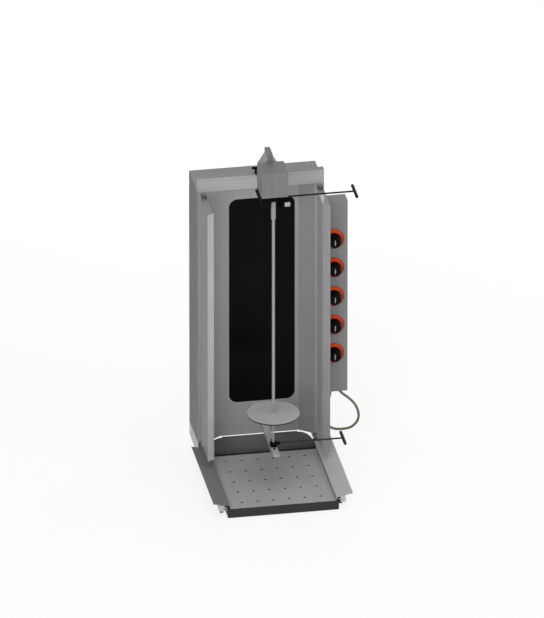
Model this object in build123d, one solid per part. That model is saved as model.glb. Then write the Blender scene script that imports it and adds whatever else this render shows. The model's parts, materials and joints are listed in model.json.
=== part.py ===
from build123d import *
import os
from math import acos, cos, hypot, pi, radians, sin, tan

# Vertical roasting grill: cabinet, swinging doors, driven spit, drip pan and control box.
# Millimetres. X runs to the right, Y to the back, Z up from the floor.
# While modelling, X is 0 on the cabinet's middle plane and Y is 0 on its front face.

# Sheet metal and fits
sheet = 1.5
running_fit = 0.05
slide_gap = 0.4
rest_gap = 0.3

# Cabinet
cabinet_width = 442.0
cabinet_depth = 173.6
cabinet_height = 1038.0
panel_return = 16.0
flange_width = 33.0
recess_depth = 35.0
recess_width = 276.0
reflector_bottom = 72.0

# Base rails, feet and cross member
foot_height = 20.0
foot_diameter = 13.0
foot_stem_diameter = 8.0
foot_front_y = -395.0
foot_rear_y = 140.0
rail_front_y = -430.0
rail_width = 18.0
rail_height = 23.0
skirt_height = 50.0
ledge_width = 8.5
ledge_drop = 8.8
cross_member_y = 145.0
cross_member_depth = 25.0
cross_member_bottom = 31.0
cross_member_height = 24.0

# Burner window and heaters
window_width = 230.6
window_offset = 9.7
window_bottom = 198.0
window_top_margin = 56.0
window_radius = 30.0
glass_lap = 12.0
glass_thickness = 4.0
gasket_thickness = 1.0
clip_width = 16.0
clip_reach = 8.0
clip_thickness = 2.0
clip_rows = 3
heater_count = 5
heater_width = 190.0
heater_spacing = 16.8
heater_depth = 22.0
heater_wall = 8.0
heater_gap = 4.0
insulation_width = 214.0
insulation_thickness = 24.0
bracket_thickness = 2.0

# Strip above the burner
fascia_height = 52.0
fascia_depth = 22.0
name_plate_height = 50.0
name_plate_thickness = 1.0

# Doors and hinges
door_face_inset = 6.3
door_length = 129.6
door_bottom = 78.0
door_top_gap = 10.0
door_lip_in = 24.3
door_lip_back = 13.6
hinge_inset = 18.0
hinge_y = -31.0
hinge_pin_diameter = 8.0
hinge_plate = 4.0
hinge_half_width = 10.0
hinge_pin_reach = 7.0

# Motor arm and its post
arm_width = 40.0
arm_thickness = 13.6
arm_rise = 69.0
arm_front_y = -272.0
arm_rear_y = -14.0
post_front_y = 4.0
post_depth = 10.0
post_clearance = 0.5
seat_front_y = -60.0
seat_thickness = 7.0
rear_tab_width = 60.0
rear_tab_depth = 8.0
rear_tab_height = 7.0

# Spit
spit_y = -247.0
spit_diameter = 10.4
spit_tip_diameter = 6.5
spit_shoulder_z = 273.0
spit_tip_z = 171.3
disc_diameter = 182.0
disc_thickness = 3.0
disc_top_z = 292.5
disc_boss_diameter = 24.0
disc_boss_height = 18.5
sleeve_diameter = 16.5
sleeve_drop = 68.0
sleeve_length = 81.5
sleeve_joint = 42.0
drive_shaft_diameter = 12.0
fork_clearance = 2.75

# Motor carriage
carriage_width = 92.0
carriage_front_y = -281.0
carriage_length = 138.0
carriage_skirt = 2.0
carriage_roof = 15.0
carriage_back_travel = 55.0
keeper_thickness = 4.0
stop_plate_x = 33.0
stop_plate_width = 19.0
stop_plate_height = 15.0
stop_plate_thickness = 3.0
housing_length = 95.0
housing_height = 92.0
hood_length = 63.0
hood_width = 70.0
hood_ridge_width = 18.6
hood_height = 118.6
hood_shoulder = 17.0
hood_eaves = 60.0

# Drive train
gear_module = 1.2
gear_teeth = 40
pinion_teeth = 16
pressure_angle = 20.0
tooth_backlash = 0.3
gear_rise = 7.0
gear_face = 8.0
pinion_face = 10.0
gear_plate_rise = 21.0
gear_plate_thickness = 3.0
gear_post_diameter = 8.0
motor_diameter = 50.0
motor_length = 58.0
motor_shaft_diameter = 5.0
motor_shaft_reach = 30.0

# Lower arm and spit bearing
lower_arm_width = 23.5
lower_arm_thickness = 12.0
lower_arm_top = 163.0
lower_arm_front_y = -310.0
arm_flange_width = 64.0
arm_flange_height = 70.0
arm_flange_thickness = 6.0
slot_width = 8.6
slot_end_play = 1.0
block_width = 22.0
block_height = 16.0
block_chamfer = 4.0
bush_diameter = 12.0
bush_floor = 2.0
foot_plate_thickness = 6.0
foot_stud_diameter = 8.0
carriage_front_travel = 25.0

# Clamp handles
handle_rod_diameter = 6.0
handle_bar_diameter = 11.0
handle_bar_length = 93.0
handle_bar_round = 3.0
handle_end = 3.0
top_handle_reach = 65.0
top_handle_y = -233.0
lower_handle_reach = 23.0
lower_handle_z = 173.0
lower_boss_diameter = 12.0
lower_boss_length = 11.0
lower_spindle_depth = 3.0

# Control box
box_width = 83.0
box_depth = 50.0
box_bottom = 228.0
box_top_drop = 75.0
box_recess = 48.0
knob_offset = 34.0
knob_top_margin = 145.0
knob_bottom_margin = 150.0
knob_count = 5
knob_diameter = 47.0
knob_front_diameter = 41.0
knob_base_length = 12.0
knob_length = 32.0
knob_round = 4.0
knob_gap = 1.0
pointer_length = 26.0
pointer_width = 5.0
pointer_height = 0.8
bezel_diameter = 74.0
bezel_thickness = 6.0
bezel_round = 2.5
spindle_diameter = 6.0
spindle_hole = 10.0
spindle_in_knob = 20.0
spindle_in_regulator = 22.0
regulator_width = 46.0
regulator_depth = 34.0
regulator_height = 48.0
terminal_width = 22.0
terminal_depth = 18.0
terminal_height = 36.0
terminal_rise = 24.0

# Cable and glands
cable_diameter = 9.0
gland_y = 25.0
gland_diameter = 16.0
gland_nose_diameter = 12.0
gland_nut = 8.0
gland_nose = 12.0
cable_out_offset = 51.0
cable_in_offset = 29.0
supply_gland_offset = 72.0

# Drip pan, perforated plate and flaps
pan_side_gap = 27.0
pan_front_y = -448.0
pan_rear_y = 30.0
pan_bottom = 2.0
pan_top = 36.0
pan_wall = 1.5
pan_rim = 8.0
pan_back_top = 69.0
pan_back_round = 60.0
plate_side_gap = 9.0
plate_front_y = -444.0
plate_rear_y = -43.5
plate_top = 34.0
hole_diameter = 6.5
hole_columns = 6
hole_rows = 5
hole_pitch_x = 55.0
hole_pitch_y = 78.0
flap_inner_inset = 33.0
flap_inner_z = 46.0
flap_overhang = 23.5
flap_outer_z = 57.0
flap_front_y = -443.0
flap_drip_edge = 8.0
flap_leg_length = 20.0
flap_leg_inset = 2.0
flap_leg_count = 3

# Screws and vents in the back
screw_diameter = 4.0
screw_head_diameter = 8.0
screw_head_height = 2.0
screw_length = 8.0
screw_rows = 4
screw_margin = 60.0
vent_length = 60.0
vent_width = 5.0
vent_pitch = 14.0
vent_rows = 10
vent_drop = 278.0

# Places that follow from the sizes above
half_width = cabinet_width / 2
door_face_x = half_width - door_face_inset
hinge_x = half_width - hinge_inset
top_handle_x = half_width + top_handle_reach
lower_handle_x = half_width + lower_handle_reach
knob_x = half_width + knob_offset
cable_out_x = half_width + cable_out_offset
cable_in_x = half_width + cable_in_offset
supply_gland_x = half_width + supply_gland_offset
pan_width = cabinet_width - 2 * pan_side_gap
plate_width = pan_width - 2 * plate_side_gap
flap_inner_x = half_width - flap_inner_inset
flap_outer_x = half_width + flap_overhang
panel_top = cabinet_height - sheet
rail_bottom = foot_height
rail_top = rail_bottom + rail_height
skirt_top = rail_bottom + skirt_height
rail_inner_x = half_width - rail_width
ledge_x = rail_inner_x - ledge_width
ledge_top = rail_top - ledge_drop
foot_x = rail_inner_x + sheet + foot_stem_diameter / 2
back_inner_y = cabinet_depth - sheet
recess_back_y = recess_depth + sheet
window_top = cabinet_height - window_top_margin
window_height = window_top - window_bottom
heater_pitch = window_height / heater_count
heater_height = heater_pitch - heater_spacing
window_left = window_offset - window_width / 2
window_right = window_offset + window_width / 2
glass_front_y = recess_back_y + gasket_thickness
glass_back_y = glass_front_y + glass_thickness
heater_front_y = glass_back_y + heater_gap
insulation_front_y = heater_front_y + heater_depth
insulation_back_y = insulation_front_y + insulation_thickness
arm_bottom = cabinet_height + arm_rise
arm_top = arm_bottom + arm_thickness
top_handle_z = arm_bottom + arm_thickness / 2
sleeve_bottom_z = arm_bottom - sleeve_drop
post_rear_y = post_front_y + post_depth
fork_half = sleeve_diameter / 2 + fork_clearance
fork_end_y = spit_y + carriage_back_travel + fork_half
carriage_half = carriage_width / 2
carriage_rear_y = carriage_front_y + carriage_length
carriage_wall_bottom = arm_bottom - carriage_skirt
roof_bottom = arm_top + slide_gap
carriage_top = roof_bottom + carriage_roof
channel_half = arm_width / 2 + slide_gap
housing_rear_y = carriage_front_y + housing_length
housing_top = carriage_top + housing_height
hood_ridge_z = carriage_top + hood_height
hood_eaves_z = carriage_top + hood_eaves
gear_z = carriage_top + gear_rise
gear_plate_z = carriage_top + gear_plate_rise
gear_radius = gear_module * gear_teeth / 2
pinion_radius = gear_module * pinion_teeth / 2
motor_y = spit_y + gear_radius + pinion_radius
motor_bottom = gear_plate_z + gear_plate_thickness
lower_arm_bottom = lower_arm_top - lower_arm_thickness
block_bottom = lower_arm_top + rest_gap
block_top = block_bottom + block_height
box_right = half_width + box_width
box_top = cabinet_height - box_top_drop
knob_top_z = box_top - knob_top_margin
knob_bottom_z = box_bottom + knob_bottom_margin
gland_plate_z = box_bottom + box_recess
gland_tip_z = gland_plate_z - gland_nut - gland_nose
terminal_z = gland_plate_z + terminal_rise
vent_bottom = cabinet_height - vent_drop
ear_top_z = cabinet_height - door_top_gap
bracket_low_top = door_bottom - rest_gap
bracket_high_bottom = ear_top_z + rest_gap

# The finished part stands with the middle of its base at the origin.
origin_x = (box_right - flap_outer_x) / 2
origin_y = (cabinet_depth + screw_head_height + pan_front_y) / 2


def block(x0, x1, y0, y1, z0, z1):
    """A box between two opposite corners."""
    middle = Pos((x0 + x1) / 2, (y0 + y1) / 2, (z0 + z1) / 2)
    return middle * Box(x1 - x0, y1 - y0, z1 - z0)


def post(diameter, x, y, z0, z1):
    """An upright cylinder."""
    return Pos(x, y, (z0 + z1) / 2) * Cylinder(diameter / 2, z1 - z0)


def bar_x(diameter, x0, x1, y, z):
    """A cylinder that lies along X."""
    return Pos((x0 + x1) / 2, y, z) * Rot(0, 90, 0) * Cylinder(diameter / 2, x1 - x0)


def bar_y(diameter, x, y0, y1, z):
    """A cylinder that lies along Y."""
    return Pos(x, (y0 + y1) / 2, z) * Rot(90, 0, 0) * Cylinder(diameter / 2, y1 - y0)


def outline(points):
    """A flat face with straight edges."""
    return make_face(Polyline(*points, close=True))


def upright(points, z0, z1):
    """A prism on a plan outline of (x, y) points."""
    return Pos(0, 0, z0) * extrude(outline(points), z1 - z0)


def along_y(points, y0, y1):
    """A prism on an elevation outline of (x, z) points."""
    front = Plane(origin=(0, y1, 0), x_dir=(1, 0, 0), z_dir=(0, -1, 0))
    return front * extrude(outline(points), y1 - y0)


def folded(points, thickness):
    """The outline of a folded sheet: a bent line and the same line moved to its left."""
    normals = []
    for (x0, y0), (x1, y1) in zip(points, points[1:]):
        length = hypot(x1 - x0, y1 - y0)
        normals.append(((y0 - y1) / length, (x1 - x0) / length))
    befores = [normals[0]] + normals
    afters = normals + [normals[-1]]
    moved = []
    for (x, y), before, after in zip(points, befores, afters):
        share = thickness / (1 + before[0] * after[0] + before[1] * after[1])
        moved.append((x + share * (before[0] + after[0]), y + share * (before[1] + after[1])))
    return points + moved[::-1]


def mirrored(shape):
    """The same piece on the other side of the middle plane."""
    return mirror(shape, about=Plane.YZ)


def both_sides(shape):
    """A piece and its mirror image."""
    return [shape, mirrored(shape)]


def spaced(first, last, count):
    """Evenly spaced places, both ends counted."""
    step = (last - first) / (count - 1)
    return [first + step * index for index in range(count)]


def window_face(margin):
    """The rounded window outline in the front plane, grown by a margin."""
    width = window_width + 2 * margin
    height = window_height + 2 * margin
    return RectangleRounded(width, height, window_radius + margin)


def window_prism(margin, y0, y1):
    """A prism on the rounded window outline."""
    middle_z = window_bottom + window_height / 2
    front = Plane(origin=(window_offset, y1, middle_z), x_dir=(1, 0, 0), z_dir=(0, -1, 0))
    return front * extrude(window_face(margin), y1 - y0)


# Base

def base_rail():
    """The right rail: a hat section, closed in front, with a ledge for the pan's rim and a skirt."""
    section = [
        (ledge_x, rail_bottom),
        (ledge_x, ledge_top),
        (rail_inner_x, ledge_top),
        (rail_inner_x, rail_top),
        (half_width, rail_top),
        (half_width, rail_bottom),
    ]
    rail = along_y(folded(section, -sheet), rail_front_y, cabinet_depth)
    rail += block(rail_inner_x, half_width, rail_front_y, rail_front_y + sheet, rail_bottom, rail_top)
    skirt = block(half_width - sheet, half_width, 0, cabinet_depth, rail_top - sheet, skirt_top)
    return rail + skirt


def rear_cross_member():
    """A channel between the rails, open below."""
    top = cross_member_bottom + cross_member_height
    rear_y = cross_member_y + cross_member_depth
    outer = block(-ledge_x, ledge_x, cross_member_y, rear_y, cross_member_bottom, top)
    inner = block(-ledge_x, ledge_x, cross_member_y + sheet, rear_y - sheet, cross_member_bottom, top - sheet)
    return outer - inner


def rubber_foot(y):
    """One foot with its stem up to the rail's top."""
    pad = post(foot_diameter, foot_x, y, 0, foot_height)
    stem = post(foot_stem_diameter, foot_x, y, 0, rail_top - sheet)
    return pad + stem


# Cabinet

def side_panel():
    """The right side with a return flange for the back panel."""
    plan = [(half_width, sheet), (half_width, back_inner_y), (half_width - panel_return, back_inner_y)]
    panel = upright(folded(plan, sheet), skirt_top, panel_top)
    return panel - screw_holes(back_inner_y - 2 * sheet, back_inner_y + sheet)


def screw_places():
    """The x and z of each screw in the right half of the back panel."""
    x = half_width - panel_return / 2
    return [(x, z) for z in spaced(skirt_top + screw_margin, panel_top - screw_margin, screw_rows)]


def screw_holes(y0, y1):
    """What is cut from a sheet for the right-hand screws."""
    cuts = [bar_y(screw_diameter + 2 * running_fit, x, y0, y1, z) for x, z in screw_places()]
    return Part() + cuts


def back_panel():
    """The back with screw holes and vent slots."""
    panel = block(-half_width, half_width, back_inner_y, cabinet_depth, skirt_top, panel_top)
    holes = screw_holes(back_inner_y - sheet, cabinet_depth + sheet)
    slot_x = window_width / 4
    slots = []
    for row in range(vent_rows):
        z = vent_bottom + row * vent_pitch
        for x in (-slot_x, slot_x):
            low_x, high_x = x - vent_length / 2, x + vent_length / 2
            low_z, high_z = z - vent_width / 2, z + vent_width / 2
            slots.append(block(low_x, high_x, back_inner_y - sheet, cabinet_depth + sheet, low_z, high_z))
    return panel - holes - mirrored(holes) - (Part() + slots)


def top_panel():
    """The flat top."""
    return block(-half_width, half_width, 0, cabinet_depth, panel_top, cabinet_height)


def front_reflector():
    """The folded front: flanges, angled walls and the burner panel with its window."""
    flange_x = half_width - flange_width
    plan = [
        (-half_width, 0),
        (-flange_x, 0),
        (-recess_width / 2, recess_depth),
        (recess_width / 2, recess_depth),
        (flange_x, 0),
        (half_width, 0),
    ]
    front = upright(folded(plan, sheet), reflector_bottom, panel_top)
    return front - window_prism(0, recess_depth - sheet, recess_back_y + sheet)


def fascia():
    """The box strip above the burner, open below, with an opening in its top for the post."""
    top = cabinet_height + fascia_height
    front_y = name_plate_thickness
    outer = block(-half_width, half_width, front_y, fascia_depth, cabinet_height, top)
    inner_x = half_width - sheet
    inner = block(-inner_x, inner_x, front_y + sheet, fascia_depth - sheet, cabinet_height, top - sheet)
    hole_x = arm_width / 2 + post_clearance
    hole = block(-hole_x, hole_x, post_front_y - post_clearance, post_rear_y + post_clearance, top - sheet, top)
    return outer - inner - hole


def name_plate():
    """The bare plate on the strip."""
    top = cabinet_height + name_plate_height
    return block(-half_width, half_width, 0, name_plate_thickness, cabinet_height, top)


def cabinet_screw(x, z):
    """One screw in the back panel."""
    head = bar_y(screw_head_diameter, x, cabinet_depth, cabinet_depth + screw_head_height, z)
    shank = bar_y(screw_diameter, x, cabinet_depth - screw_length, cabinet_depth, z)
    return head + shank


# Burner

def glass_panel():
    """The glass-ceramic plate behind the window."""
    low_x, high_x = window_left - glass_lap, window_right + glass_lap
    low_z, high_z = window_bottom - glass_lap, window_top + glass_lap
    return block(low_x, high_x, glass_front_y, glass_back_y, low_z, high_z)


def glass_gasket():
    """The flat seal between the reflector and the glass."""
    low_x, high_x = window_left - glass_lap, window_right + glass_lap
    low_z, high_z = window_bottom - glass_lap, window_top + glass_lap
    frame = block(low_x, high_x, recess_back_y, glass_front_y, low_z, high_z)
    return frame - window_prism(gasket_thickness, recess_back_y - sheet, glass_front_y + sheet)


def glass_clip(edge_x, direction, z):
    """One clip beside the glass, with a finger over its back."""
    near = edge_x + direction * rest_gap
    far = near + direction * clip_reach
    finger = edge_x - direction * clip_reach
    low_z, high_z = z - clip_width / 2, z + clip_width / 2
    back_y = glass_back_y + clip_thickness
    foot = block(min(near, far), max(near, far), recess_back_y, back_y, low_z, high_z)
    over = block(min(finger, far), max(finger, far), glass_back_y, back_y, low_z, high_z)
    return foot + over


def glass_clips():
    """Clips down both edges of the glass."""
    low_z = window_bottom + window_radius
    high_z = window_top - window_radius
    edges = ((window_left - glass_lap, -1), (window_right + glass_lap, 1))
    return [glass_clip(x, way, z) for x, way in edges for z in spaced(low_z, high_z, clip_rows)]


def radiant_heater(z):
    """One heating tray, open to the glass, with its folded ribbon element."""
    low_x, high_x = window_offset - heater_width / 2, window_offset + heater_width / 2
    low_z, high_z = z - heater_height / 2, z + heater_height / 2
    tray = block(low_x, high_x, heater_front_y, insulation_front_y, low_z, high_z)
    floor_y = insulation_front_y - heater_wall
    inside = block(low_x + heater_wall, high_x - heater_wall, heater_front_y, floor_y,
                   low_z + heater_wall, high_z - heater_wall)
    tray -= inside
    ribs = []
    for rib_x in spaced(low_x + 3 * heater_wall, high_x - 3 * heater_wall, heater_count):
        ribs.append(block(rib_x - sheet, rib_x + sheet, heater_front_y + heater_gap, floor_y + sheet,
                          low_z + 2 * heater_wall, high_z - 2 * heater_wall))
    return tray + ribs


def heater_places():
    """The height of each heater's middle, top first."""
    return [window_top - heater_pitch * (index + 0.5) for index in range(heater_count)]


def insulation_board():
    """The board behind the heaters."""
    low_x, high_x = window_offset - insulation_width / 2, window_offset + insulation_width / 2
    return block(low_x, high_x, insulation_front_y, insulation_back_y, window_bottom, window_top)


def burner_bracket(direction):
    """A folded strip from the reflector to the back of the board."""
    wall_x = window_offset + direction * (window_width / 2 + glass_lap + 2 * clip_reach)
    lip_x = window_offset + direction * (insulation_width / 2 - 2 * clip_reach)
    inner_x = wall_x - direction * bracket_thickness
    back_y = insulation_back_y + bracket_thickness
    wall = block(min(wall_x, inner_x), max(wall_x, inner_x), recess_back_y, back_y, window_bottom, window_top)
    lip = block(min(wall_x, lip_x), max(wall_x, lip_x), insulation_back_y, back_y, window_bottom, window_top)
    return wall + lip


# Doors

def hinge_plate_outline(x0, x1, y0, y1, z0, z1):
    """A flat hinge plate with its front corners rounded."""
    plate = block(x0, x1, y0, y1, z0, z1)
    corners = plate.edges().filter_by(Axis.Z).group_by(Axis.Y)[0]
    return fillet(corners, (x1 - x0) / 4)


def hinge_bracket(z0, z1, pin_z0, pin_z1):
    """A right-hand bracket on the cabinet's front flange with its pin."""
    front_y = hinge_y - hinge_half_width
    low_x, high_x = hinge_x - hinge_half_width, hinge_x + hinge_half_width
    plate = hinge_plate_outline(low_x, high_x, front_y, 0, z0, z1)
    return plate + post(hinge_pin_diameter, hinge_x, hinge_y, pin_z0, pin_z1)


def hinge_brackets():
    """Brackets above and below both doors."""
    high_top = bracket_high_bottom + hinge_plate
    high = hinge_bracket(bracket_high_bottom, high_top, ear_top_z - hinge_pin_reach, high_top)
    low_bottom = bracket_low_top - hinge_plate
    low = hinge_bracket(low_bottom, bracket_low_top, low_bottom, door_bottom + hinge_pin_reach)
    return both_sides(high) + both_sides(low)


def door_panel():
    """The right door: a sheet folded hollow, open above and below, with a hinge ear at each end."""
    front_y = hinge_y - door_length
    inner_x = door_face_x - door_lip_in
    low_x = hinge_x - hinge_half_width + sheet
    high_x = door_face_x - sheet / 2
    low_y, high_y = hinge_y - hinge_half_width + sheet, hinge_y + hinge_half_width - sheet
    plan = [
        (inner_x, low_y),
        (inner_x, front_y + door_lip_back),
        (door_face_x, front_y),
        (door_face_x, hinge_y),
    ]
    door = upright(folded(plan, sheet), door_bottom, ear_top_z)
    door += block(inner_x, high_x, low_y - sheet, low_y, door_bottom, ear_top_z)
    for z0, z1 in ((door_bottom, door_bottom + hinge_plate), (ear_top_z - hinge_plate, ear_top_z)):
        door += hinge_plate_outline(low_x, high_x, low_y, high_y, z0, z1)
    bore = post(hinge_pin_diameter + 2 * running_fit, hinge_x, hinge_y, door_bottom - sheet, ear_top_z + sheet)
    return door - bore


# Arm above the cabinet

def arm_pedestal():
    """The post through the strip above the burner, with a seat for the arm and a tab across its rear."""
    half = arm_width / 2
    upright_leg = block(-half, half, post_front_y, post_rear_y, cabinet_height, arm_bottom)
    seat = block(-half, half, seat_front_y, post_rear_y, arm_bottom - seat_thickness, arm_bottom)
    tab_half = rear_tab_width / 2
    tab_y = post_rear_y - rear_tab_depth
    tab = block(-tab_half, tab_half, tab_y, post_rear_y, arm_bottom, arm_bottom + rear_tab_height)
    return upright_leg + seat + tab


def motor_arm():
    """The flat arm, forked round the spit drive."""
    half = arm_width / 2
    arm = block(-half, half, arm_front_y, arm_rear_y, arm_bottom, arm_top)
    slot = block(-fork_half, fork_half, arm_front_y, fork_end_y, arm_bottom, arm_top)
    return arm - slot


# Motor carriage

def carriage_block():
    """The channel block that slides on the arm, bored for the drive shaft and the clamp screw."""
    solid = block(-carriage_half, carriage_half, carriage_front_y, housing_rear_y,
                  carriage_wall_bottom, carriage_top)
    solid += block(-hood_width / 2, hood_width / 2, housing_rear_y, carriage_rear_y,
                   carriage_wall_bottom, carriage_top)
    channel = block(-channel_half, channel_half, carriage_front_y, carriage_rear_y,
                    carriage_wall_bottom, roof_bottom)
    shaft_bore = post(drive_shaft_diameter + 2 * running_fit, 0, spit_y, roof_bottom, carriage_top)
    screw_bore = bar_x(handle_rod_diameter + 2 * running_fit, 0, carriage_half, top_handle_y, top_handle_z)
    return solid - channel - shaft_bore - screw_bore


def carriage_keeper():
    """The right-hand strip under the arm that keeps the carriage down."""
    inner_x = fork_half + sheet
    low_z = carriage_wall_bottom - keeper_thickness
    return block(inner_x, carriage_half, carriage_front_y, carriage_rear_y, low_z, carriage_wall_bottom)


def stop_plate():
    """A bright plate on the front of the carriage's right wall."""
    low_x = stop_plate_x
    low_z = carriage_wall_bottom - keeper_thickness
    front_y = carriage_front_y - stop_plate_thickness
    high_x = low_x + stop_plate_width
    return block(low_x, high_x, front_y, carriage_front_y, low_z, low_z + stop_plate_height)


def motor_housing():
    """The box cover over the motor, open below."""
    outer = block(-carriage_half, carriage_half, carriage_front_y, housing_rear_y, carriage_top, housing_top)
    inner_x = carriage_half - sheet
    inner = block(-inner_x, inner_x, carriage_front_y + sheet, housing_rear_y - sheet,
                  carriage_top, housing_top - sheet)
    return outer - inner


def hood_outline(inset):
    """The roof-shaped section of the rear hood, drawn in by an inset."""
    ridge = hood_ridge_width / 2 - inset
    eaves = hood_width / 2 - inset
    shoulder_z = hood_ridge_z - hood_shoulder
    half = [
        (eaves, carriage_top),
        (eaves, hood_eaves_z - inset),
        (ridge, shoulder_z - inset),
        (ridge, hood_ridge_z - inset),
    ]
    return half + [(-x, z) for x, z in half[::-1]]


def neck_hood():
    """The hood behind the motor box, open below."""
    rear_y = housing_rear_y + hood_length
    outer = along_y(hood_outline(0), housing_rear_y, rear_y)
    inner = along_y(hood_outline(sheet), housing_rear_y + sheet, rear_y - sheet)
    return outer - inner


# Drive train

def gear_outline(teeth, first_angle):
    """Involute teeth as a closed line of points, the first tooth at an angle in degrees."""
    pitch = gear_module * teeth / 2
    base = pitch * cos(radians(pressure_angle))
    tip = pitch + 0.85 * gear_module
    root = pitch - 1.25 * gear_module
    half_tooth = pi / (2 * teeth) - tooth_backlash / (2 * pitch)
    at_pitch = tan(radians(pressure_angle)) - radians(pressure_angle)
    flank = []
    for radius in spaced(max(base, root), tip, 4):
        roll = acos(min(1.0, base / radius))
        flank.append((radius, half_tooth + at_pitch - (tan(roll) - roll)))
    flank = [(root, flank[0][1])] + flank
    points = []
    for tooth in range(teeth):
        middle = radians(first_angle) + 2 * pi * tooth / teeth
        rising = [(radius, middle - turn) for radius, turn in flank]
        falling = [(radius, middle + turn) for radius, turn in flank[::-1]]
        points += [(radius * cos(angle), radius * sin(angle)) for radius, angle in rising + falling]
    return points


def output_gear():
    """The large gear on the drive shaft."""
    gear = Pos(0, spit_y, gear_z) * extrude(outline(gear_outline(gear_teeth, 90)), gear_face)
    bore = post(drive_shaft_diameter + 2 * running_fit, 0, spit_y, gear_z, gear_z + gear_face)
    return gear - bore


def motor_pinion():
    """The motor's shaft with its pinion, a tooth gap towards the large gear."""
    face_z = gear_z + (gear_face - pinion_face) / 2
    outline_points = gear_outline(pinion_teeth, 180 / pinion_teeth - 90)
    pinion = Pos(0, motor_y, face_z) * extrude(outline(outline_points), pinion_face)
    shaft_top = motor_bottom + motor_shaft_reach
    return pinion + post(motor_shaft_diameter, 0, motor_y, face_z, shaft_top)


def gear_plate():
    """The plate over the gears, on four posts, that carries the motor."""
    edge = 2 * sheet
    low_y, high_y = carriage_front_y + edge, housing_rear_y - edge
    half = carriage_half - edge
    plate = block(-half, half, low_y, high_y, gear_plate_z, motor_bottom)
    inset = gear_post_diameter / 2 + sheet
    for x in (-half + inset, half - inset):
        for y in (low_y + inset, high_y - inset):
            plate += post(gear_post_diameter, x, y, carriage_top, gear_plate_z)
    pinion_hole = post(2 * pinion_radius, 0, motor_y, gear_plate_z, motor_bottom)
    shaft_hole = post(drive_shaft_diameter + 2 * running_fit, 0, spit_y, gear_plate_z, motor_bottom)
    return plate - pinion_hole - shaft_hole


def drive_motor():
    """The motor's casing with its shaft bore."""
    case = post(motor_diameter, 0, motor_y, motor_bottom, motor_bottom + motor_length)
    case = fillet(case.edges().group_by(Axis.Z)[-1], 2 * sheet)
    bore_top = motor_bottom + motor_shaft_reach + rest_gap
    return case - post(motor_shaft_diameter + 2 * running_fit, 0, motor_y, motor_bottom, bore_top)


# Spit

def sleeve_joint_z():
    """Where the drive shaft and the spit meet inside the sleeve."""
    return sleeve_bottom_z + sleeve_joint


def drive_shaft():
    """The shaft from the large gear down into the sleeve."""
    return post(drive_shaft_diameter, 0, spit_y, sleeve_joint_z() + rest_gap, motor_bottom - sheet)


def coupling_sleeve():
    """The sleeve that joins the drive shaft and the spit."""
    top = sleeve_bottom_z + sleeve_length
    sleeve = post(sleeve_diameter, 0, spit_y, sleeve_bottom_z, top)
    upper = post(drive_shaft_diameter + 2 * running_fit, 0, spit_y, sleeve_joint_z(), top)
    lower = post(spit_diameter + 2 * running_fit, 0, spit_y, sleeve_bottom_z, sleeve_joint_z())
    return sleeve - upper - lower


def spit_rod():
    """The spit with its thinner lower tip."""
    rod = post(spit_diameter, 0, spit_y, spit_shoulder_z, sleeve_joint_z() - rest_gap)
    return rod + post(spit_tip_diameter, 0, spit_y, spit_tip_z, spit_shoulder_z)


def meat_disc():
    """The disc with the boss that clamps it on the spit."""
    low_z = disc_top_z - disc_thickness
    plate = post(disc_diameter, 0, spit_y, low_z, disc_top_z)
    plate = fillet(plate.edges().filter_by(GeomType.CIRCLE), disc_thickness / 4)
    boss = post(disc_boss_diameter, 0, spit_y, low_z - disc_boss_height, low_z)
    bore_bottom = low_z - disc_boss_height
    return plate + boss - post(spit_diameter + 2 * running_fit, 0, spit_y, bore_bottom, disc_top_z)


# Lower arm and bearing

def lower_arm():
    """The slotted bar under the spit with its wall flange."""
    half = lower_arm_width / 2
    flange_y = recess_depth - arm_flange_thickness
    bar = block(-half, half, lower_arm_front_y, flange_y, lower_arm_bottom, lower_arm_top)
    flange_half = arm_flange_width / 2
    middle_z = lower_arm_top - lower_arm_thickness / 2
    low_z, high_z = middle_z - arm_flange_height / 2, middle_z + arm_flange_height / 2
    flange = block(-flange_half, flange_half, flange_y, recess_depth, low_z, min(high_z, window_bottom - sheet))
    slot_front = spit_y - carriage_front_travel - slot_end_play
    slot_rear = spit_y + carriage_back_travel + slot_end_play
    slot = block(-slot_width / 2, slot_width / 2, slot_front, slot_rear, lower_arm_bottom, lower_arm_top)
    for y in (slot_front, slot_rear):
        slot += post(slot_width, 0, y, lower_arm_bottom, lower_arm_top)
    return bar + flange - slot


def bearing_block():
    """The block on the arm, bored for the spit's bush and the clamp spindle."""
    half = block_width / 2
    body = block(-half, half, spit_y - half, spit_y + half, block_bottom, block_top)
    body = chamfer(body.edges().group_by(Axis.Z)[-1], block_chamfer)
    boss_end = half + lower_boss_length
    body += bar_x(lower_boss_diameter, 0, boss_end, spit_y, lower_handle_z)
    spindle_end = half - lower_spindle_depth
    body -= bar_x(handle_rod_diameter + 2 * running_fit, spindle_end, boss_end, spit_y, lower_handle_z)
    return body - post(bush_diameter, 0, spit_y, spit_tip_z - rest_gap - bush_floor, block_top)


def bearing_bush():
    """The cup that the spit's tip turns in."""
    cup = post(bush_diameter, 0, spit_y, spit_tip_z - rest_gap - bush_floor, block_top)
    return cup - post(spit_tip_diameter + 2 * running_fit, 0, spit_y, spit_tip_z - rest_gap, block_top)


def bearing_clamp_foot():
    """The plate under the arm with its stud through the slot."""
    half = block_width / 2
    top = lower_arm_bottom - slide_gap
    plate = block(-half, half, spit_y - half, spit_y + half, top - foot_plate_thickness, top)
    return plate + post(foot_stud_diameter, 0, spit_y, top - foot_plate_thickness, block_bottom)


# Clamp handles

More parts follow.
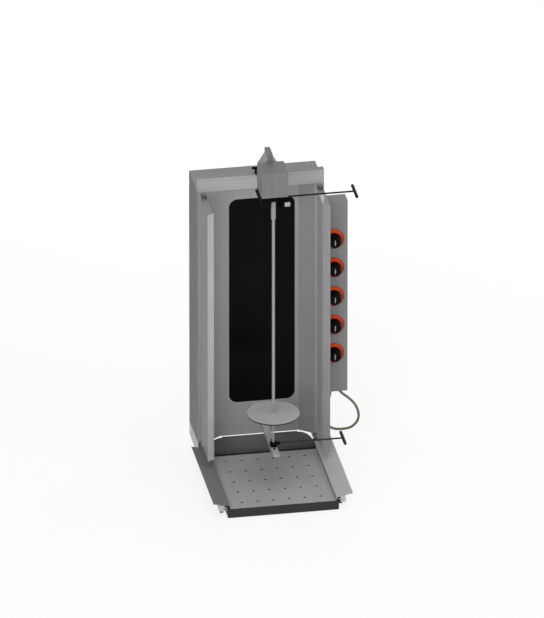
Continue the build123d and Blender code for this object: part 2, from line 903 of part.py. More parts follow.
def clamp_handle(x0, bar_at_x, y, z):
    """A screw along X and the cross bar on its end."""
    rod = bar_x(handle_rod_diameter, x0, bar_at_x + handle_end, y, z)
    half = handle_bar_length / 2
    bar = bar_y(handle_bar_diameter, bar_at_x, y - half, y + half, z)
    bar = fillet(bar.edges().filter_by(GeomType.CIRCLE), handle_bar_round)
    bar -= bar_x(handle_rod_diameter + 2 * running_fit, 0, bar_at_x + handle_end, y, z)
    return [rod, bar]


def top_clamp_handle():
    """The screw that locks the carriage on the arm."""
    return clamp_handle(arm_width / 2 + rest_gap, top_handle_x, top_handle_y, top_handle_z)


def lower_clamp_handle():
    """The spindle that locks the lower bearing on its arm."""
    start = block_width / 2 - lower_spindle_depth + rest_gap
    return clamp_handle(start, lower_handle_x, spit_y, lower_handle_z)


# Control box

def knob_places():
    """The height of each knob, top first."""
    return spaced(knob_top_z, knob_bottom_z, knob_count)


def control_box_shell():
    """The casing: sides, back and top, with the recessed plate for the glands."""
    outer = block(half_width, box_right, sheet, box_depth, box_bottom, box_top)
    inner = block(half_width + sheet, box_right - sheet, sheet, box_depth - sheet,
                  gland_plate_z + sheet, box_top - sheet)
    recess = block(half_width + sheet, box_right - sheet, sheet, box_depth - sheet, box_bottom, gland_plate_z)
    return outer - inner - recess


def control_box_front():
    """The front cover with the spindle holes."""
    cover = block(half_width, box_right, 0, sheet, box_bottom, box_top)
    return cover - (Part() + [bar_y(spindle_hole, knob_x, 0, sheet, z) for z in knob_places()])


def facing_front(shape, z):
    """A turned piece, drawn along Z, put at a knob's place and pointed forwards."""
    return Pos(knob_x, 0, z) * Rot(90, 0, 0) * shape


def pointer_lens():
    """The lens-shaped rib on a knob's face."""
    half = pointer_length / 2
    low, high = (0, -half), (0, half)
    right = ThreePointArc(low, (pointer_width / 2, 0), high)
    left = ThreePointArc(high, (-pointer_width / 2, 0), low)
    return make_face(right + left)


def knob(z):
    """A round tapered knob with its pointer rib, and the spindle in it."""
    radius = knob_diameter / 2
    front = knob_front_diameter / 2
    back = knob_gap
    face = knob_gap + knob_length
    profile = [(0, back), (radius, back), (radius, back + knob_base_length), (front, face), (0, face)]
    body = revolve(Plane.XZ * outline(profile), Axis.Z)
    body = fillet(body.edges().filter_by(GeomType.CIRCLE).sort_by(Axis.Z)[-1], knob_round)
    body += Pos(0, 0, face - sheet) * extrude(pointer_lens(), sheet + pointer_height)
    bore_depth = spindle_in_knob + rest_gap
    body -= Pos(0, 0, back + bore_depth / 2) * Cylinder(spindle_diameter / 2 + running_fit, bore_depth)
    spindle = Pos(0, 0, (back + spindle_in_knob - spindle_in_regulator) / 2) * Cylinder(
        spindle_diameter / 2, back + spindle_in_knob + spindle_in_regulator)
    return [facing_front(body, z), facing_front(spindle, z)]


def knob_bezel(z):
    """The bright ring round a knob."""
    ring = Pos(0, 0, bezel_thickness / 2) * Cylinder(bezel_diameter / 2, bezel_thickness)
    ring -= Pos(0, 0, bezel_thickness / 2) * Cylinder(knob_diameter / 2 + knob_gap, bezel_thickness)
    ring = fillet(ring.edges().filter_by(GeomType.CIRCLE).group_by(Axis.Z)[-1], bezel_round)
    return facing_front(ring, z)


def energy_regulator(z):
    """The switch behind a knob, bored for its spindle."""
    low_x, high_x = knob_x - regulator_width / 2, knob_x + regulator_width / 2
    low_z, high_z = z - regulator_height / 2, z + regulator_height / 2
    body = block(low_x, high_x, sheet, sheet + regulator_depth, low_z, high_z)
    depth = spindle_in_regulator + rest_gap
    return body - bar_y(spindle_diameter + 2 * running_fit, knob_x, sheet, depth, z)


def terminal_block():
    """The row of terminals on the casing's back wall."""
    back_y = box_depth - sheet
    low_x, high_x = knob_x - terminal_width / 2, knob_x + terminal_width / 2
    high_z = terminal_z + terminal_height
    return block(low_x, high_x, back_y - terminal_depth, back_y, terminal_z, high_z)


# Cable

def cable_gland(x):
    """A gland under the recessed plate: a nut and a tapered nose."""
    nut_bottom = gland_plate_z - gland_nut
    nut = post(gland_diameter, x, gland_y, nut_bottom, gland_plate_z)
    nose = Pos(x, gland_y, nut_bottom - gland_nose / 2) * Cone(
        gland_nose_diameter / 2, gland_diameter / 2, gland_nose)
    return nut + nose


def cable_route():
    """The cable's points, from one gland round the hanging loop to the other."""
    return [
        (cable_out_x, gland_y, gland_tip_z),
        (cable_out_x, gland_y, 238),
        (half_width + 57, 26, 220),
        (half_width + 70.5, 27, 203),
        (half_width + 93, 28, 185),
        (half_width + 114, 29, 160),
        (half_width + 127, 30, 131),
        (half_width + 129, 31, 101),
        (half_width + 115.5, 31, 77.5),
        (half_width + 92.5, 31, 64),
        (half_width + 46.5, 31, 64.5),
        (half_width + 23.5, 30, 78),
        (half_width + 10, 29, 101),
        (half_width + 10.5, 28, 128),
        (half_width + 15, 27, 155),
        (half_width + 21, 26, 182),
        (half_width + 26.5, 25, 208),
        (cable_in_x, gland_y, 233),
        (cable_in_x, gland_y, gland_tip_z),
    ]


def corner_radii(points):
    """The largest bend that each corner's two runs leave room for."""
    corners = [Vector(*point) for point in points]
    radii = []
    for before, corner, after in zip(corners, corners[1:], corners[2:]):
        come = corner - before
        leave = after - corner
        half_turn = radians(come.get_angle(leave)) / 2
        radii.append(0.45 * min(come.length, leave.length) / tan(half_turn))
    return radii


def feed_cable():
    """The hanging cable between the two glands."""
    points = cable_route()
    radii = corner_radii(points)
    path = FilletPolyline(*points, radius=radii)
    section = Plane(origin=path @ 0, z_dir=path % 0) * Circle(cable_diameter / 2)
    tube = sweep(section, path=path)
    expected = path.length * pi * (cable_diameter / 2) ** 2
    print("cable radii", [round(radius, 1) for radius in radii])
    print("cable length", round(path.length, 1), "volume ratio", round(tube.volume / expected, 5))
    return tube


# Drip pan, plate and flaps

def drip_pan():
    """The pan with a rim along both sides that runs on the rails' ledges."""
    half = pan_width / 2
    outer = block(-half, half, pan_front_y, pan_rear_y, pan_bottom, pan_top)
    inner = block(pan_wall - half, half - pan_wall, pan_front_y + pan_wall, pan_rear_y - pan_wall,
                  pan_bottom + pan_wall, pan_top)
    rim = block(half - pan_wall, half + pan_rim, rail_front_y, pan_rear_y, ledge_top + rest_gap, pan_top)
    return outer - inner + both_sides(rim)


def pan_back():
    """The upstand inside the pan's rear wall, its upper corners rounded."""
    half = pan_width / 2 - pan_wall - rest_gap
    rear_y = pan_rear_y - pan_wall
    plate = block(-half, half, rear_y - sheet, rear_y, pan_bottom + pan_wall, pan_back_top)
    corners = plate.edges().filter_by(Axis.Y).group_by(Axis.Z)[-1]
    return fillet(corners, pan_back_round)


def perforated_plate():
    """The plate in the pan, folded down along both sides, with its grid of holes."""
    half = plate_width / 2
    floor_z = pan_bottom + pan_wall
    section = [(-half, floor_z), (-half, plate_top), (half, plate_top), (half, floor_z)]
    plate = along_y(folded(section, -sheet), plate_front_y, plate_rear_y)
    middle_y = (plate_front_y + plate_rear_y) / 2
    grid = GridLocations(hole_pitch_x, hole_pitch_y, hole_columns, hole_rows)
    hole = Cylinder(hole_diameter / 2, 4 * sheet)
    return plate - (Part() + [Pos(0, middle_y, plate_top) * place * hole for place in grid])


def flap_height(x):
    """The underside of the right flap at a place across it."""
    rise = (flap_outer_z - flap_inner_z) / (flap_outer_x - flap_inner_x)
    return flap_inner_z + rise * (x - flap_inner_x)


def drip_flap():
    """The right flap: a sloping sheet with a drip edge, on legs that stand on the rail."""
    section = [
        (flap_outer_x, flap_outer_z),
        (flap_inner_x, flap_inner_z),
        (flap_inner_x, flap_inner_z - flap_drip_edge),
    ]
    flap = along_y(folded(section, -sheet), flap_front_y, 0)
    low_x, high_x = rail_inner_x + flap_leg_inset, half_width - flap_leg_inset
    leg = [
        (low_x, rail_top),
        (high_x, rail_top),
        (high_x, flap_height(high_x) + sheet / 2),
        (low_x, flap_height(low_x) + sheet / 2),
    ]
    first = rail_front_y + flap_leg_length
    for y in spaced(first, -2 * flap_leg_length, flap_leg_count):
        flap += along_y(leg, y, y + flap_leg_length)
    return flap


def assembly():
    """Every node of the grill with its solids."""
    screws = [cabinet_screw(x, z) for x, z in screw_places()]
    feet = [rubber_foot(y) for y in (foot_front_y, foot_rear_y)]
    nodes = {
        "base_rail_left": mirrored(base_rail()),
        "base_rail_right": base_rail(),
        "rear_cross_member": rear_cross_member(),
        "rubber_feet": feet + [mirrored(foot) for foot in feet],
        "side_panel_left": mirrored(side_panel()),
        "side_panel_right": side_panel(),
        "back_panel": back_panel(),
        "top_panel": top_panel(),
        "front_reflector": front_reflector(),
        "fascia": fascia(),
        "name_plate": name_plate(),
        "cabinet_screws": screws + [mirrored(screw) for screw in screws],
        "glass_panel": glass_panel(),
        "glass_gasket": glass_gasket(),
        "glass_clips": glass_clips(),
        "radiant_heaters": [radiant_heater(z) for z in heater_places()],
        "insulation_board": insulation_board(),
        "burner_brackets": [burner_bracket(-1), burner_bracket(1)],
        "hinge_brackets": hinge_brackets(),
        "left_door_panel": mirrored(door_panel()),
        "right_door_panel": door_panel(),
        "arm_pedestal": arm_pedestal(),
        "motor_arm": motor_arm(),
        "carriage_block": carriage_block(),
        "carriage_keepers": both_sides(carriage_keeper()),
        "stop_plate": stop_plate(),
        "motor_housing": motor_housing(),
        "neck_hood": neck_hood(),
        "gear_plate": gear_plate(),
        "drive_motor": drive_motor(),
        "motor_pinion": motor_pinion(),
        "output_gear": output_gear(),
        "drive_shaft": drive_shaft(),
        "coupling_sleeve": coupling_sleeve(),
        "spit_rod": spit_rod(),
        "meat_disc": meat_disc(),
        "lower_arm": lower_arm(),
        "bearing_block": bearing_block(),
        "bearing_bush": bearing_bush(),
        "bearing_clamp_foot": bearing_clamp_foot(),
        "top_clamp_handle": top_clamp_handle(),
        "lower_clamp_handle": lower_clamp_handle(),
        "control_box_shell": control_box_shell(),
        "control_box_front": control_box_front(),
        "knob_bezels": [knob_bezel(z) for z in knob_places()],
        "energy_regulators": [energy_regulator(z) for z in knob_places()],
        "terminal_block": terminal_block(),
        "cable_glands": [cable_gland(x) for x in (cable_out_x, cable_in_x, supply_gland_x)],
        "feed_cable": feed_cable(),
        "drip_flap_left": mirrored(drip_flap()),
        "drip_flap_right": drip_flap(),
        "drip_pan": drip_pan(),
        "pan_back": pan_back(),
        "perforated_plate": perforated_plate(),
    }
    for number, z in enumerate(knob_places(), start=1):
        nodes[f"knob_{number}"] = knob(z)
    return nodes


def main():
    """Write each node, moved so that the middle of the base is the origin."""
    os.makedirs("parts", exist_ok=True)
    home = Pos(-origin_x, -origin_y, 0)
    for name, shape in assembly().items():
        pieces = shape if isinstance(shape, list) else [shape]
        solids = [home * solid for piece in pieces for solid in piece.solids()]
        export_step(Compound(children=solids) if len(solids) > 1 else solids[0], f"parts/{name}.step")


main()
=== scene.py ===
import json
import logging
import math
from collections.abc import Callable
from dataclasses import dataclass
from enum import Enum, auto

import bmesh
import bpy
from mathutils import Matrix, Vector


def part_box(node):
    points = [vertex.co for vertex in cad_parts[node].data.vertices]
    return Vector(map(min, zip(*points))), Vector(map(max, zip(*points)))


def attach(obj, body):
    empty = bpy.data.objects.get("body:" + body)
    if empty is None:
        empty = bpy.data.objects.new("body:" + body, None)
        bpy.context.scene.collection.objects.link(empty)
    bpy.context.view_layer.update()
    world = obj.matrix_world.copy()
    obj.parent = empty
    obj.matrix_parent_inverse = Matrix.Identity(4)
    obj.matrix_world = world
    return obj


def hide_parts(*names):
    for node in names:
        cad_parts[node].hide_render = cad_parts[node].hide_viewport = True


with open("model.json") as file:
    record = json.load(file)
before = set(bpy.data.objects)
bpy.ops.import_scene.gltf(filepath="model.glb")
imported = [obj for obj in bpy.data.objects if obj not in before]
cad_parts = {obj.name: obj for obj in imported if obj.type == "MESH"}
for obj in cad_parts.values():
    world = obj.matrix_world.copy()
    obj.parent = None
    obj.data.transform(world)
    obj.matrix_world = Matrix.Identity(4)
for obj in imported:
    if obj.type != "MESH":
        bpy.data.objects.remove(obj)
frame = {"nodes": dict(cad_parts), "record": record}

log = logging.getLogger("grill")
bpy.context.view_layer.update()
MM = 0.001
UP = (0.0, 0.0, 1.0)
FRONT = (0.0, -1.0, 0.0)
LEFT = (-1.0, 0.0, 0.0)
WHITE = (1.0, 1.0, 1.0)
MIDDLE = 0.5  # the value that a noise varies round
SPREAD = (0.3, 0.7)  # the part of a noise's range that two colours are spread over

Triple = tuple[float, float, float]
Colour = tuple[float, float, float, float]
Material = bpy.types.Material
Mesh = bpy.types.Mesh
Node = bpy.types.Node
Piece = bpy.types.Object
Socket = bpy.types.NodeSocket


def maths(operation: str, swapped: bool = False) -> Callable[["Signal", object], "Signal"]:
    """A method that adds a Math node.

    Args:
        operation: The node's operation.
        swapped: Whether the signal itself comes second.

    Returns:
        The method.
    """

    def run(self: "Signal", other: object) -> "Signal":
        """Add the node.

        Args:
            self: One of the two values.
            other: A signal or a number.

        Returns:
            The result as a new signal.
        """
        made = self.tree.tree.nodes.new("ShaderNodeMath")
        made.operation = operation
        for socket, value in zip(made.inputs, (other, self) if swapped else (self, other)):
            self.tree.feed(socket, value)
        return Signal(self.tree, made.outputs[0])

    return run


class Signal:
    """A value in a node tree that Python expressions can use."""

    __add__ = __radd__ = maths("ADD")
    __mul__ = __rmul__ = maths("MULTIPLY")
    __sub__ = maths("SUBTRACT")
    __rsub__ = maths("SUBTRACT", swapped=True)
    __truediv__ = maths("DIVIDE")
    __mod__ = maths("FLOORED_MODULO")
    __pow__ = maths("POWER")
    most = maths("MAXIMUM")
    least = maths("MINIMUM")

    def __init__(self, tree: "Tree", socket: Socket) -> None:
        """Keep the socket and the tree that it is in."""
        self.tree = tree
        self.socket = socket

    def between(self, low: float, high: float) -> "Signal":
        """Zero at or under low, one at or over high, straight between."""
        return ((self - low) / (high - low)).most(0.0).least(1.0)


class Tree:
    """A node tree under construction."""

    PREFIX = "ShaderNode"

    def __init__(self, tree: bpy.types.NodeTree) -> None:
        """Keep the Blender tree."""
        self.tree = tree

    def feed(self, socket: Socket, value: object) -> None:
        """Give a socket a link or a plain value.

        Args:
            socket: The input to fill.
            value: A signal, node or socket, a list of these, or a plain value.
        """
        if isinstance(value, list):
            for item in value:
                self.feed(socket, item)
        elif isinstance(value, Signal):
            self.tree.links.new(value.socket, socket)
        elif isinstance(value, Node):
            self.tree.links.new(value.outputs[0], socket)
        elif isinstance(value, Socket):
            self.tree.links.new(value, socket)
        else:
            socket.default_value = value

    def node(self, kind: str, settings: dict[str, object] | None = None, **values: object) -> Node:
        """Add a node.

        Args:
            kind: The node's type, which may be without the tree's usual prefix.
            settings: Its own properties, set first.
            values: What its sockets get, by identifier or by name with underscores for spaces.

        Returns:
            The new node.
        """
        made = self.tree.nodes.new(kind if "Node" in kind else self.PREFIX + kind)
        for key, value in (settings or {}).items():
            setattr(made, key, value)
        for key, value in values.items():
            exact = [socket for socket in made.inputs if socket.identifier == key]
            self.feed(exact[0] if exact else made.inputs[key.replace("_", " ")], value)
        return made

    def signal(self, node: Node, output: int | str = 0) -> Signal:
        """One of a node's outputs as a signal."""
        return Signal(self, node.outputs[output])


class MaterialTree(Tree):
    """A material's nodes round one Principled shader."""

    EDGE_RANGE = (0.02, 0.16)  # how far the normal leans where an edge starts and is full

    def __init__(self, name: str) -> None:
        """Start a material.

        Args:
            name: The material's name.
        """
        self.material = bpy.data.materials.new(name)
        self.material.use_nodes = True
        super().__init__(self.material.node_tree)
        self.surface = self.tree.nodes["Principled BSDF"]
        self.place = self.signal(self.node("TexCoord"), "Object")

    def noise(self, scale: float | Triple, detail: float = 2.0) -> Signal:
        """Noise on the object's own coordinates.

        Args:
            scale: Marks per metre, along each axis or the same along all.
            detail: How many finer layers the noise has.

        Returns:
            A value round a half.
        """
        scales = scale if isinstance(scale, tuple) else (scale,) * 3
        mapped = self.node("Mapping", Vector=self.place, Scale=scales)
        return self.signal(self.node("TexNoise", Vector=mapped, Scale=1.0, Detail=detail))

    def blend(self, factor: object, first: object, second: object) -> Signal:
        """Mix two colours.

        Args:
            factor: How much of the second, from 0 to 1.
            first: A colour or a signal.
            second: A colour or a signal.

        Returns:
            The mixed colour.
        """
        mixed = self.node("Mix", {"data_type": "RGBA"}, Factor_Float=factor, A_Color=first,
                          B_Color=second)
        return self.signal(mixed, "Result")

    def edges(self, radius: float) -> Signal:
        """A mask of the sharp edges.

        Args:
            radius: How far the mask reaches from an edge.

        Returns:
            One on sharp edges and zero elsewhere.
        """
        rounded = self.node("Bevel", {"samples": 4}, Radius=radius)
        true = self.node("NewGeometry").outputs["Normal"]
        cosine = self.node("VectorMath", {"operation": "DOT_PRODUCT"})
        self.feed(cosine.inputs[0], rounded)
        self.feed(cosine.inputs[1], true)
        return (1.0 - self.signal(cosine, "Value")).between(*self.EDGE_RANGE)

    def relief(self, height: Signal, distance: float, strength: float) -> None:
        """Bump the surface by a height."""
        bumped = self.node("Bump", Height=height, Distance=distance, Strength=strength)
        self.feed(self.surface.inputs["Normal"], bumped)

    def paint(self, **values: object) -> Material:
        """Fill the shader's sockets.

        Args:
            values: What each socket gets, by name with underscores for spaces.

        Returns:
            The material.
        """
        for key, value in values.items():
            self.feed(self.surface.inputs[key.replace("_", " ")], value)
        return self.material


def shade(colour: Triple, gain: float = 1.0, lift: float = 0.0) -> Colour:
    """A colour made lighter or darker.

    Args:
        colour: The colour to start from.
        gain: What each part is multiplied by.
        lift: What is then added to each part.

    Returns:
        The colour, not over one and not transparent.
    """
    red, green, blue = (min(1.0, gain * part + lift) for part in colour)
    return (red, green, blue, 1.0)


class Grain(Enum):
    """Marks per metre along X, Y and Z, so a small number is the way that the marks run."""

    ALONG_X = (9.0, 900.0, 900.0)
    ALONG_Y = (900.0, 9.0, 900.0)
    ALONG_Z = (900.0, 900.0, 9.0)
    RINGS_X = (900.0, 9.0, 9.0)
    RINGS_Z = (9.0, 9.0, 900.0)
    PLAIN = (240.0, 240.0, 240.0)


@dataclass(frozen=True)
class SteelFinish:
    """Brushed or turned steel with fine marks, broad smears and brighter worn edges."""

    name: str
    level: float
    roughness: float = 0.46
    grain: Grain = Grain.ALONG_Z
    tint: Triple = WHITE
    metallic: float = 0.15
    specular: float = 0.25
    wear: float = 0.2

    # The same for all steel
    MARKS, BANDS, SMEARS = 0.45, 0.3, 0.25  # the share of each noise in the tone
    SMEAR_ROUGH, MARK_ROUGH = 0.16, 0.10
    CONTRAST = 0.13
    WORN_GAIN = 1.4
    BAND_SHARE = 0.12
    SMEAR_SCALE = (7.0, 7.0, 5.0)
    EDGE_RADIUS = 1.2 * MM
    RELIEF = (0.15 * MM, 0.12)

    def material(self) -> Material:
        """Build the material.

        Returns:
            The new material.
        """
        tree = MaterialTree(self.name)
        marks = tree.noise(self.grain.value, detail=3.0)
        bands = tree.noise(tuple(self.BAND_SHARE * scale for scale in self.grain.value))
        smears = tree.noise(self.SMEAR_SCALE, detail=4.0)
        tone = marks * self.MARKS + bands * self.BANDS + smears * self.SMEARS
        dark = shade(self.tint, self.level * (1.0 - self.CONTRAST))
        light = shade(self.tint, self.level * (1.0 + self.CONTRAST))
        worn = shade(self.tint, self.level * self.WORN_GAIN)
        colour = tree.blend(tone.between(*SPREAD), dark, light)
        colour = tree.blend(tree.edges(self.EDGE_RADIUS) * self.wear, colour, worn)
        tree.relief(marks, *self.RELIEF)
        rough = self.roughness + self.SMEAR_ROUGH * (smears - MIDDLE)
        rough = rough + self.MARK_ROUGH * (marks - MIDDLE)
        return tree.paint(Base_Color=colour, Roughness=rough, Metallic=self.metallic,
                          Specular_IOR_Level=self.specular)


@dataclass(frozen=True)
class PaintFinish:
    """Sprayed paint with a fine orange peel and bare metal showing at the edges."""

    name: str
    colour: Triple
    roughness: float = 0.5
    wear: float = 0.2
    specular: float = 0.12

    # The same for all paint
    PEEL_SCALE = 700.0
    RELIEF = (0.1 * MM, 0.1)
    DUST_SCALE = 22.0
    DUST_GAIN, DUST_LIFT = 1.5, 0.002
    DUST_ROUGH = 0.2
    DUST_RANGE = (0.4, 0.75)
    RUB_RANGE = (0.35, 0.6)
    EDGE_RADIUS = 1.4 * MM
    BARE_LEVEL = 0.22
    BARE_METAL = 0.8

    def material(self) -> Material:
        """Build the material.

        Returns:
            The new material.
        """
        tree = MaterialTree(self.name)
        peel = tree.noise(self.PEEL_SCALE)
        dust = tree.noise(self.DUST_SCALE, detail=5.0)
        dusty = shade(self.colour, self.DUST_GAIN, self.DUST_LIFT)
        colour = tree.blend(dust.between(*self.DUST_RANGE), shade(self.colour), dusty)
        rubbed = tree.edges(self.EDGE_RADIUS) * dust.between(*self.RUB_RANGE) * self.wear
        colour = tree.blend(rubbed, colour, shade(WHITE, self.BARE_LEVEL))
        tree.relief(peel, *self.RELIEF)
        rough = self.roughness + self.DUST_ROUGH * (dust - MIDDLE)
        return tree.paint(Base_Color=colour, Roughness=rough, Metallic=rubbed * self.BARE_METAL,
                          Specular_IOR_Level=self.specular)


@dataclass(frozen=True)
class PlasticFinish:
    """Moulded plastic or rubber with a fine surface texture and faint handling marks."""

    name: str
    colour: Triple
    roughness: float = 0.35
    texture: float = 900.0
    relief: float = 0.06
    specular: float = 0.5

    # The same for all plastic
    MARK_SCALE = 45.0
    MARK_ROUGH = 0.14
    DARK_GAIN = 0.86
    LIGHT_GAIN, LIGHT_LIFT = 1.12, 0.001
    TEXTURE_DEPTH = 0.1 * MM

    def material(self) -> Material:
        """Build the material.

        Returns:
            The new material.
        """
        tree = MaterialTree(self.name)
        marks = tree.noise(self.MARK_SCALE, detail=4.0)
        dark = shade(self.colour, self.DARK_GAIN)
        light = shade(self.colour, self.LIGHT_GAIN, self.LIGHT_LIFT)
        colour = tree.blend(marks.between(*SPREAD), dark, light)
        tree.relief(tree.noise(self.texture), self.TEXTURE_DEPTH, self.relief)
        rough = self.roughness + self.MARK_ROUGH * (marks - MIDDLE)
        return tree.paint(Base_Color=colour, Roughness=rough, Specular_IOR_Level=self.specular)


@dataclass(frozen=True)
class RingFinish:
    """Glossy rings in an upright row: bright, with a darker outer tone and painted shade deeper to
    the lower right, and a pale edge line.
    """

    name: str
    bright: Triple
    deep: Triple
    line: Triple
    centre: tuple[float, float]
    pitch: float
    inner: float
    outer: float

    # Where the pale line fades in and out, as shares of the ring's width
    LINE_START = (0.74, 0.79)
    LINE_END = (0.83, 0.88)
    LINE_SHARE = 0.8
    # How the painted light and shade lean: lighter to the upper left, deeper to the lower right
    LEAN_RIGHT, LEAN_DOWN = 0.8, 0.6
    RIM_RANGE = (0.3, 0.95)
    HAZE_SCALE = 60.0
    TEXTURE_SCALE = 900.0
    RELIEF = (0.1 * MM, 0.05)

    def material(self) -> Material:
        """Build the material.

        Returns:
            The new material.
        """
        tree = MaterialTree(self.name)
        axes = tree.node("SeparateXYZ", Vector=tree.place)
        across = tree.signal(axes, "X") - self.centre[0]
        above = tree.signal(axes, "Z") - (self.centre[1] - self.pitch / 2)
        up = above % self.pitch - self.pitch / 2
        reach = ((across * across + up * up) ** 0.5 - self.inner) / (self.outer - self.inner)
        haze = tree.noise(self.HAZE_SCALE, detail=3.0)
        # Painted light and shade across each ring: lighter to the upper left, deeper to the lower
        # right
        painted_shade_slope = (across * self.LEAN_RIGHT - up * self.LEAN_DOWN) / self.outer
        rim_and_painted_shade = (0.45 * reach + 0.5 * painted_shade_slope + 0.2 * haze + 0.15).between(*self.RIM_RANGE)
        colour = tree.blend(rim_and_painted_shade, shade(self.bright), shade(self.deep))
        pale = reach.between(*self.LINE_START) * (1.0 - reach.between(*self.LINE_END))
        colour = tree.blend(pale * self.LINE_SHARE, colour, shade(self.line))
        tree.relief(tree.noise(self.TEXTURE_SCALE), *self.RELIEF)
        return tree.paint(Base_Color=colour, Roughness=0.2 + 0.14 * haze, Coat_Weight=0.1,
                          Coat_Roughness=0.06, Specular_IOR_Level=0.15)


@dataclass(frozen=True)
class GlassFinish:
    """Black glass-ceramic, polished, with a faint haze of wiped grease."""

    name: str
    level: float

    HAZE_SCALE = (5.0, 5.0, 3.0)
    HAZE_RANGE = (0.45, 0.8)
    HAZE_GAIN = 1.7
    WIPE_SCALE = (260.0, 260.0, 6.0)

    def material(self) -> Material:
        """Build the material.

        Returns:
            The new material.
        """
        tree = MaterialTree(self.name)
        haze = tree.noise(self.HAZE_SCALE, detail=5.0)
        wipes = tree.noise(self.WIPE_SCALE)
        clean, hazy = shade(WHITE, self.level), shade(WHITE, self.level * self.HAZE_GAIN)
        colour = tree.blend(haze.between(*self.HAZE_RANGE), clean, hazy)
        rough = 0.16 + 0.14 * haze + 0.06 * (wipes - MIDDLE)
        return tree.paint(Base_Color=colour, Roughness=rough, Specular_IOR_Level=0.05)


@dataclass(frozen=True)
class FibreFinish:
    """Pressed mineral fibre."""

    name: str
    colour: Triple

    FIBRE_SCALE = (160.0, 160.0, 420.0)
    RELIEF = (0.6 * MM, 0.5)
    DARK_GAIN, PALE_GAIN = 0.8, 1.15

    def material(self) -> Material:
        """Build the material.

        Returns:
            The new material.
        """
        tree = MaterialTree(self.name)
        fibre = tree.noise(self.FIBRE_SCALE, detail=5.0)
        dark, pale = shade(self.colour, self.DARK_GAIN), shade(self.colour, self.PALE_GAIN)
        colour = tree.blend(fibre.between(*SPREAD), dark, pale)
        tree.relief(fibre, *self.RELIEF)
        return tree.paint(Base_Color=colour, Roughness=0.85 + 0.1 * fibre)


Finish = SteelFinish | PaintFinish | PlasticFinish | RingFinish | GlassFinish | FibreFinish

# Casing
# A darker copy of the casing's brushed steel for the sides and back: painted shade that keeps the
# sides darker than the front and top
SHEET = SteelFinish("sheet_steel_brushed", 0.1, metallic=0.05, specular=0.1)
SHEET_ACROSS = SteelFinish("sheet_steel_across", 0.232, grain=Grain.ALONG_X)
PLATE = SteelFinish("bare_plate_steel", 0.34, grain=Grain.ALONG_X, roughness=0.4)
RAIL = SteelFinish("rail_steel_brushed", 0.44, grain=Grain.ALONG_Y)
# A darker copy of the flap steel: painted shade on the left flap, whose mirror twin takes the rail
# steel; also the cross member, fences and left seal
FLAP_DARK = SteelFinish("flap_steel_dark", 0.18, grain=Grain.ALONG_Y)
# The recess steel is set lighter, painted light against the shade in the recess; its right-hand
# wall takes a darker copy, painted shade
REFLECTOR = SteelFinish("reflector_steel", 0.28)
REFLECTOR_RIGHT = SteelFinish("reflector_right_shaded_steel", 0.215)
RUBBER = PlasticFinish("grey_rubber", (0.16, 0.16, 0.16), 0.7, texture=350.0, relief=0.35)
PLATED = SteelFinish("zinc_plated_steel", 0.45, grain=Grain.PLAIN, tint=(1.0, 0.98, 0.9),
                     metallic=0.5)
# Burner
GLASS = GlassFinish("black_glass_ceramic", 0.0018)
HEATER = SteelFinish("heater_tray_dull", 0.45, grain=Grain.PLAIN, roughness=0.6)
BOARD = FibreFinish("insulation_fibre", (0.7, 0.66, 0.56))
# Doors
# Lit and shaded copies of the door steel: the left door darker and the right door lighter, painted
# shade and light that even out the lamps, and the right door's inside lighter still, painted light
# in its shade
DOOR = SteelFinish("door_steel_brushed", 0.15)
DOOR_RIGHT = SteelFinish("right_door_steel", 0.24)
DOOR_INNER = SteelFinish("door_inner_lit_steel", 0.42)
BRIGHT = SteelFinish("bright_steel", 0.39)
DOOR_CAP = SteelFinish("door_cap_steel", 0.26, grain=Grain.ALONG_Y)
GUSSET = SteelFinish("door_gusset_steel", 0.55, grain=Grain.ALONG_Y)
HINGE = SteelFinish("hinge_steel_dull", 0.18, grain=Grain.PLAIN)
# Drive head
BLACK = PaintFinish("black_paint", (0.002, 0.002, 0.0022), wear=0.06, specular=0.02)
MOTOR_GREY = PaintFinish("motor_grey_paint", (0.12, 0.13, 0.14))
COVER = SteelFinish("cover_steel_brushed", 0.16)
# A lighter copy of the cover steel for the hood's left slope: painted light on the side that faces
# the light
COVER_SIDE = SteelFinish("cover_side_lit_steel", 0.27)
GEAR = SteelFinish("gear_steel", 0.4, grain=Grain.RINGS_Z, metallic=0.5)
# Spit
SPIT = SteelFinish("spit_steel_turned", 0.27, grain=Grain.RINGS_Z, roughness=0.36)
# The disc's steel is set lighter, painted light against the shade over the tray; its upright edge
# and the bead under it are near black, painted shade
DISC = SteelFinish("disc_steel", 0.46, grain=Grain.ALONG_X, roughness=0.42)
DISC_EDGE = SteelFinish("disc_edge_painted_shade", 0.004, grain=Grain.RINGS_Z, metallic=0.05, specular=0.05,
                        wear=0.0)
ARM_LIGHT = SteelFinish("lower_arm_steel", 0.29, grain=Grain.ALONG_Y)
# A lighter copy of the lower arm's steel for its top: painted light where the disc's shadow falls
ARM_TOP = SteelFinish("lower_arm_top_lit_steel", 0.5, grain=Grain.ALONG_Y)
BRASS = SteelFinish("turned_brass", 0.2, grain=Grain.RINGS_Z, tint=(1.0, 0.72, 0.36), metallic=1.0)
HANDLE = SteelFinish("handle_steel_dark", 0.012, grain=Grain.RINGS_X, metallic=0.05, specular=0.06)
HANDLE_LOW = SteelFinish("lower_handle_steel", 0.03, grain=Grain.RINGS_X, metallic=0.05,
                         specular=0.06)
# Control box and cable
CONTROL = SteelFinish("control_steel_brushed", 0.222)
KNOB = PlasticFinish("knob_black_gloss", (0.0026, 0.0019, 0.0016), 0.22, specular=0.05)
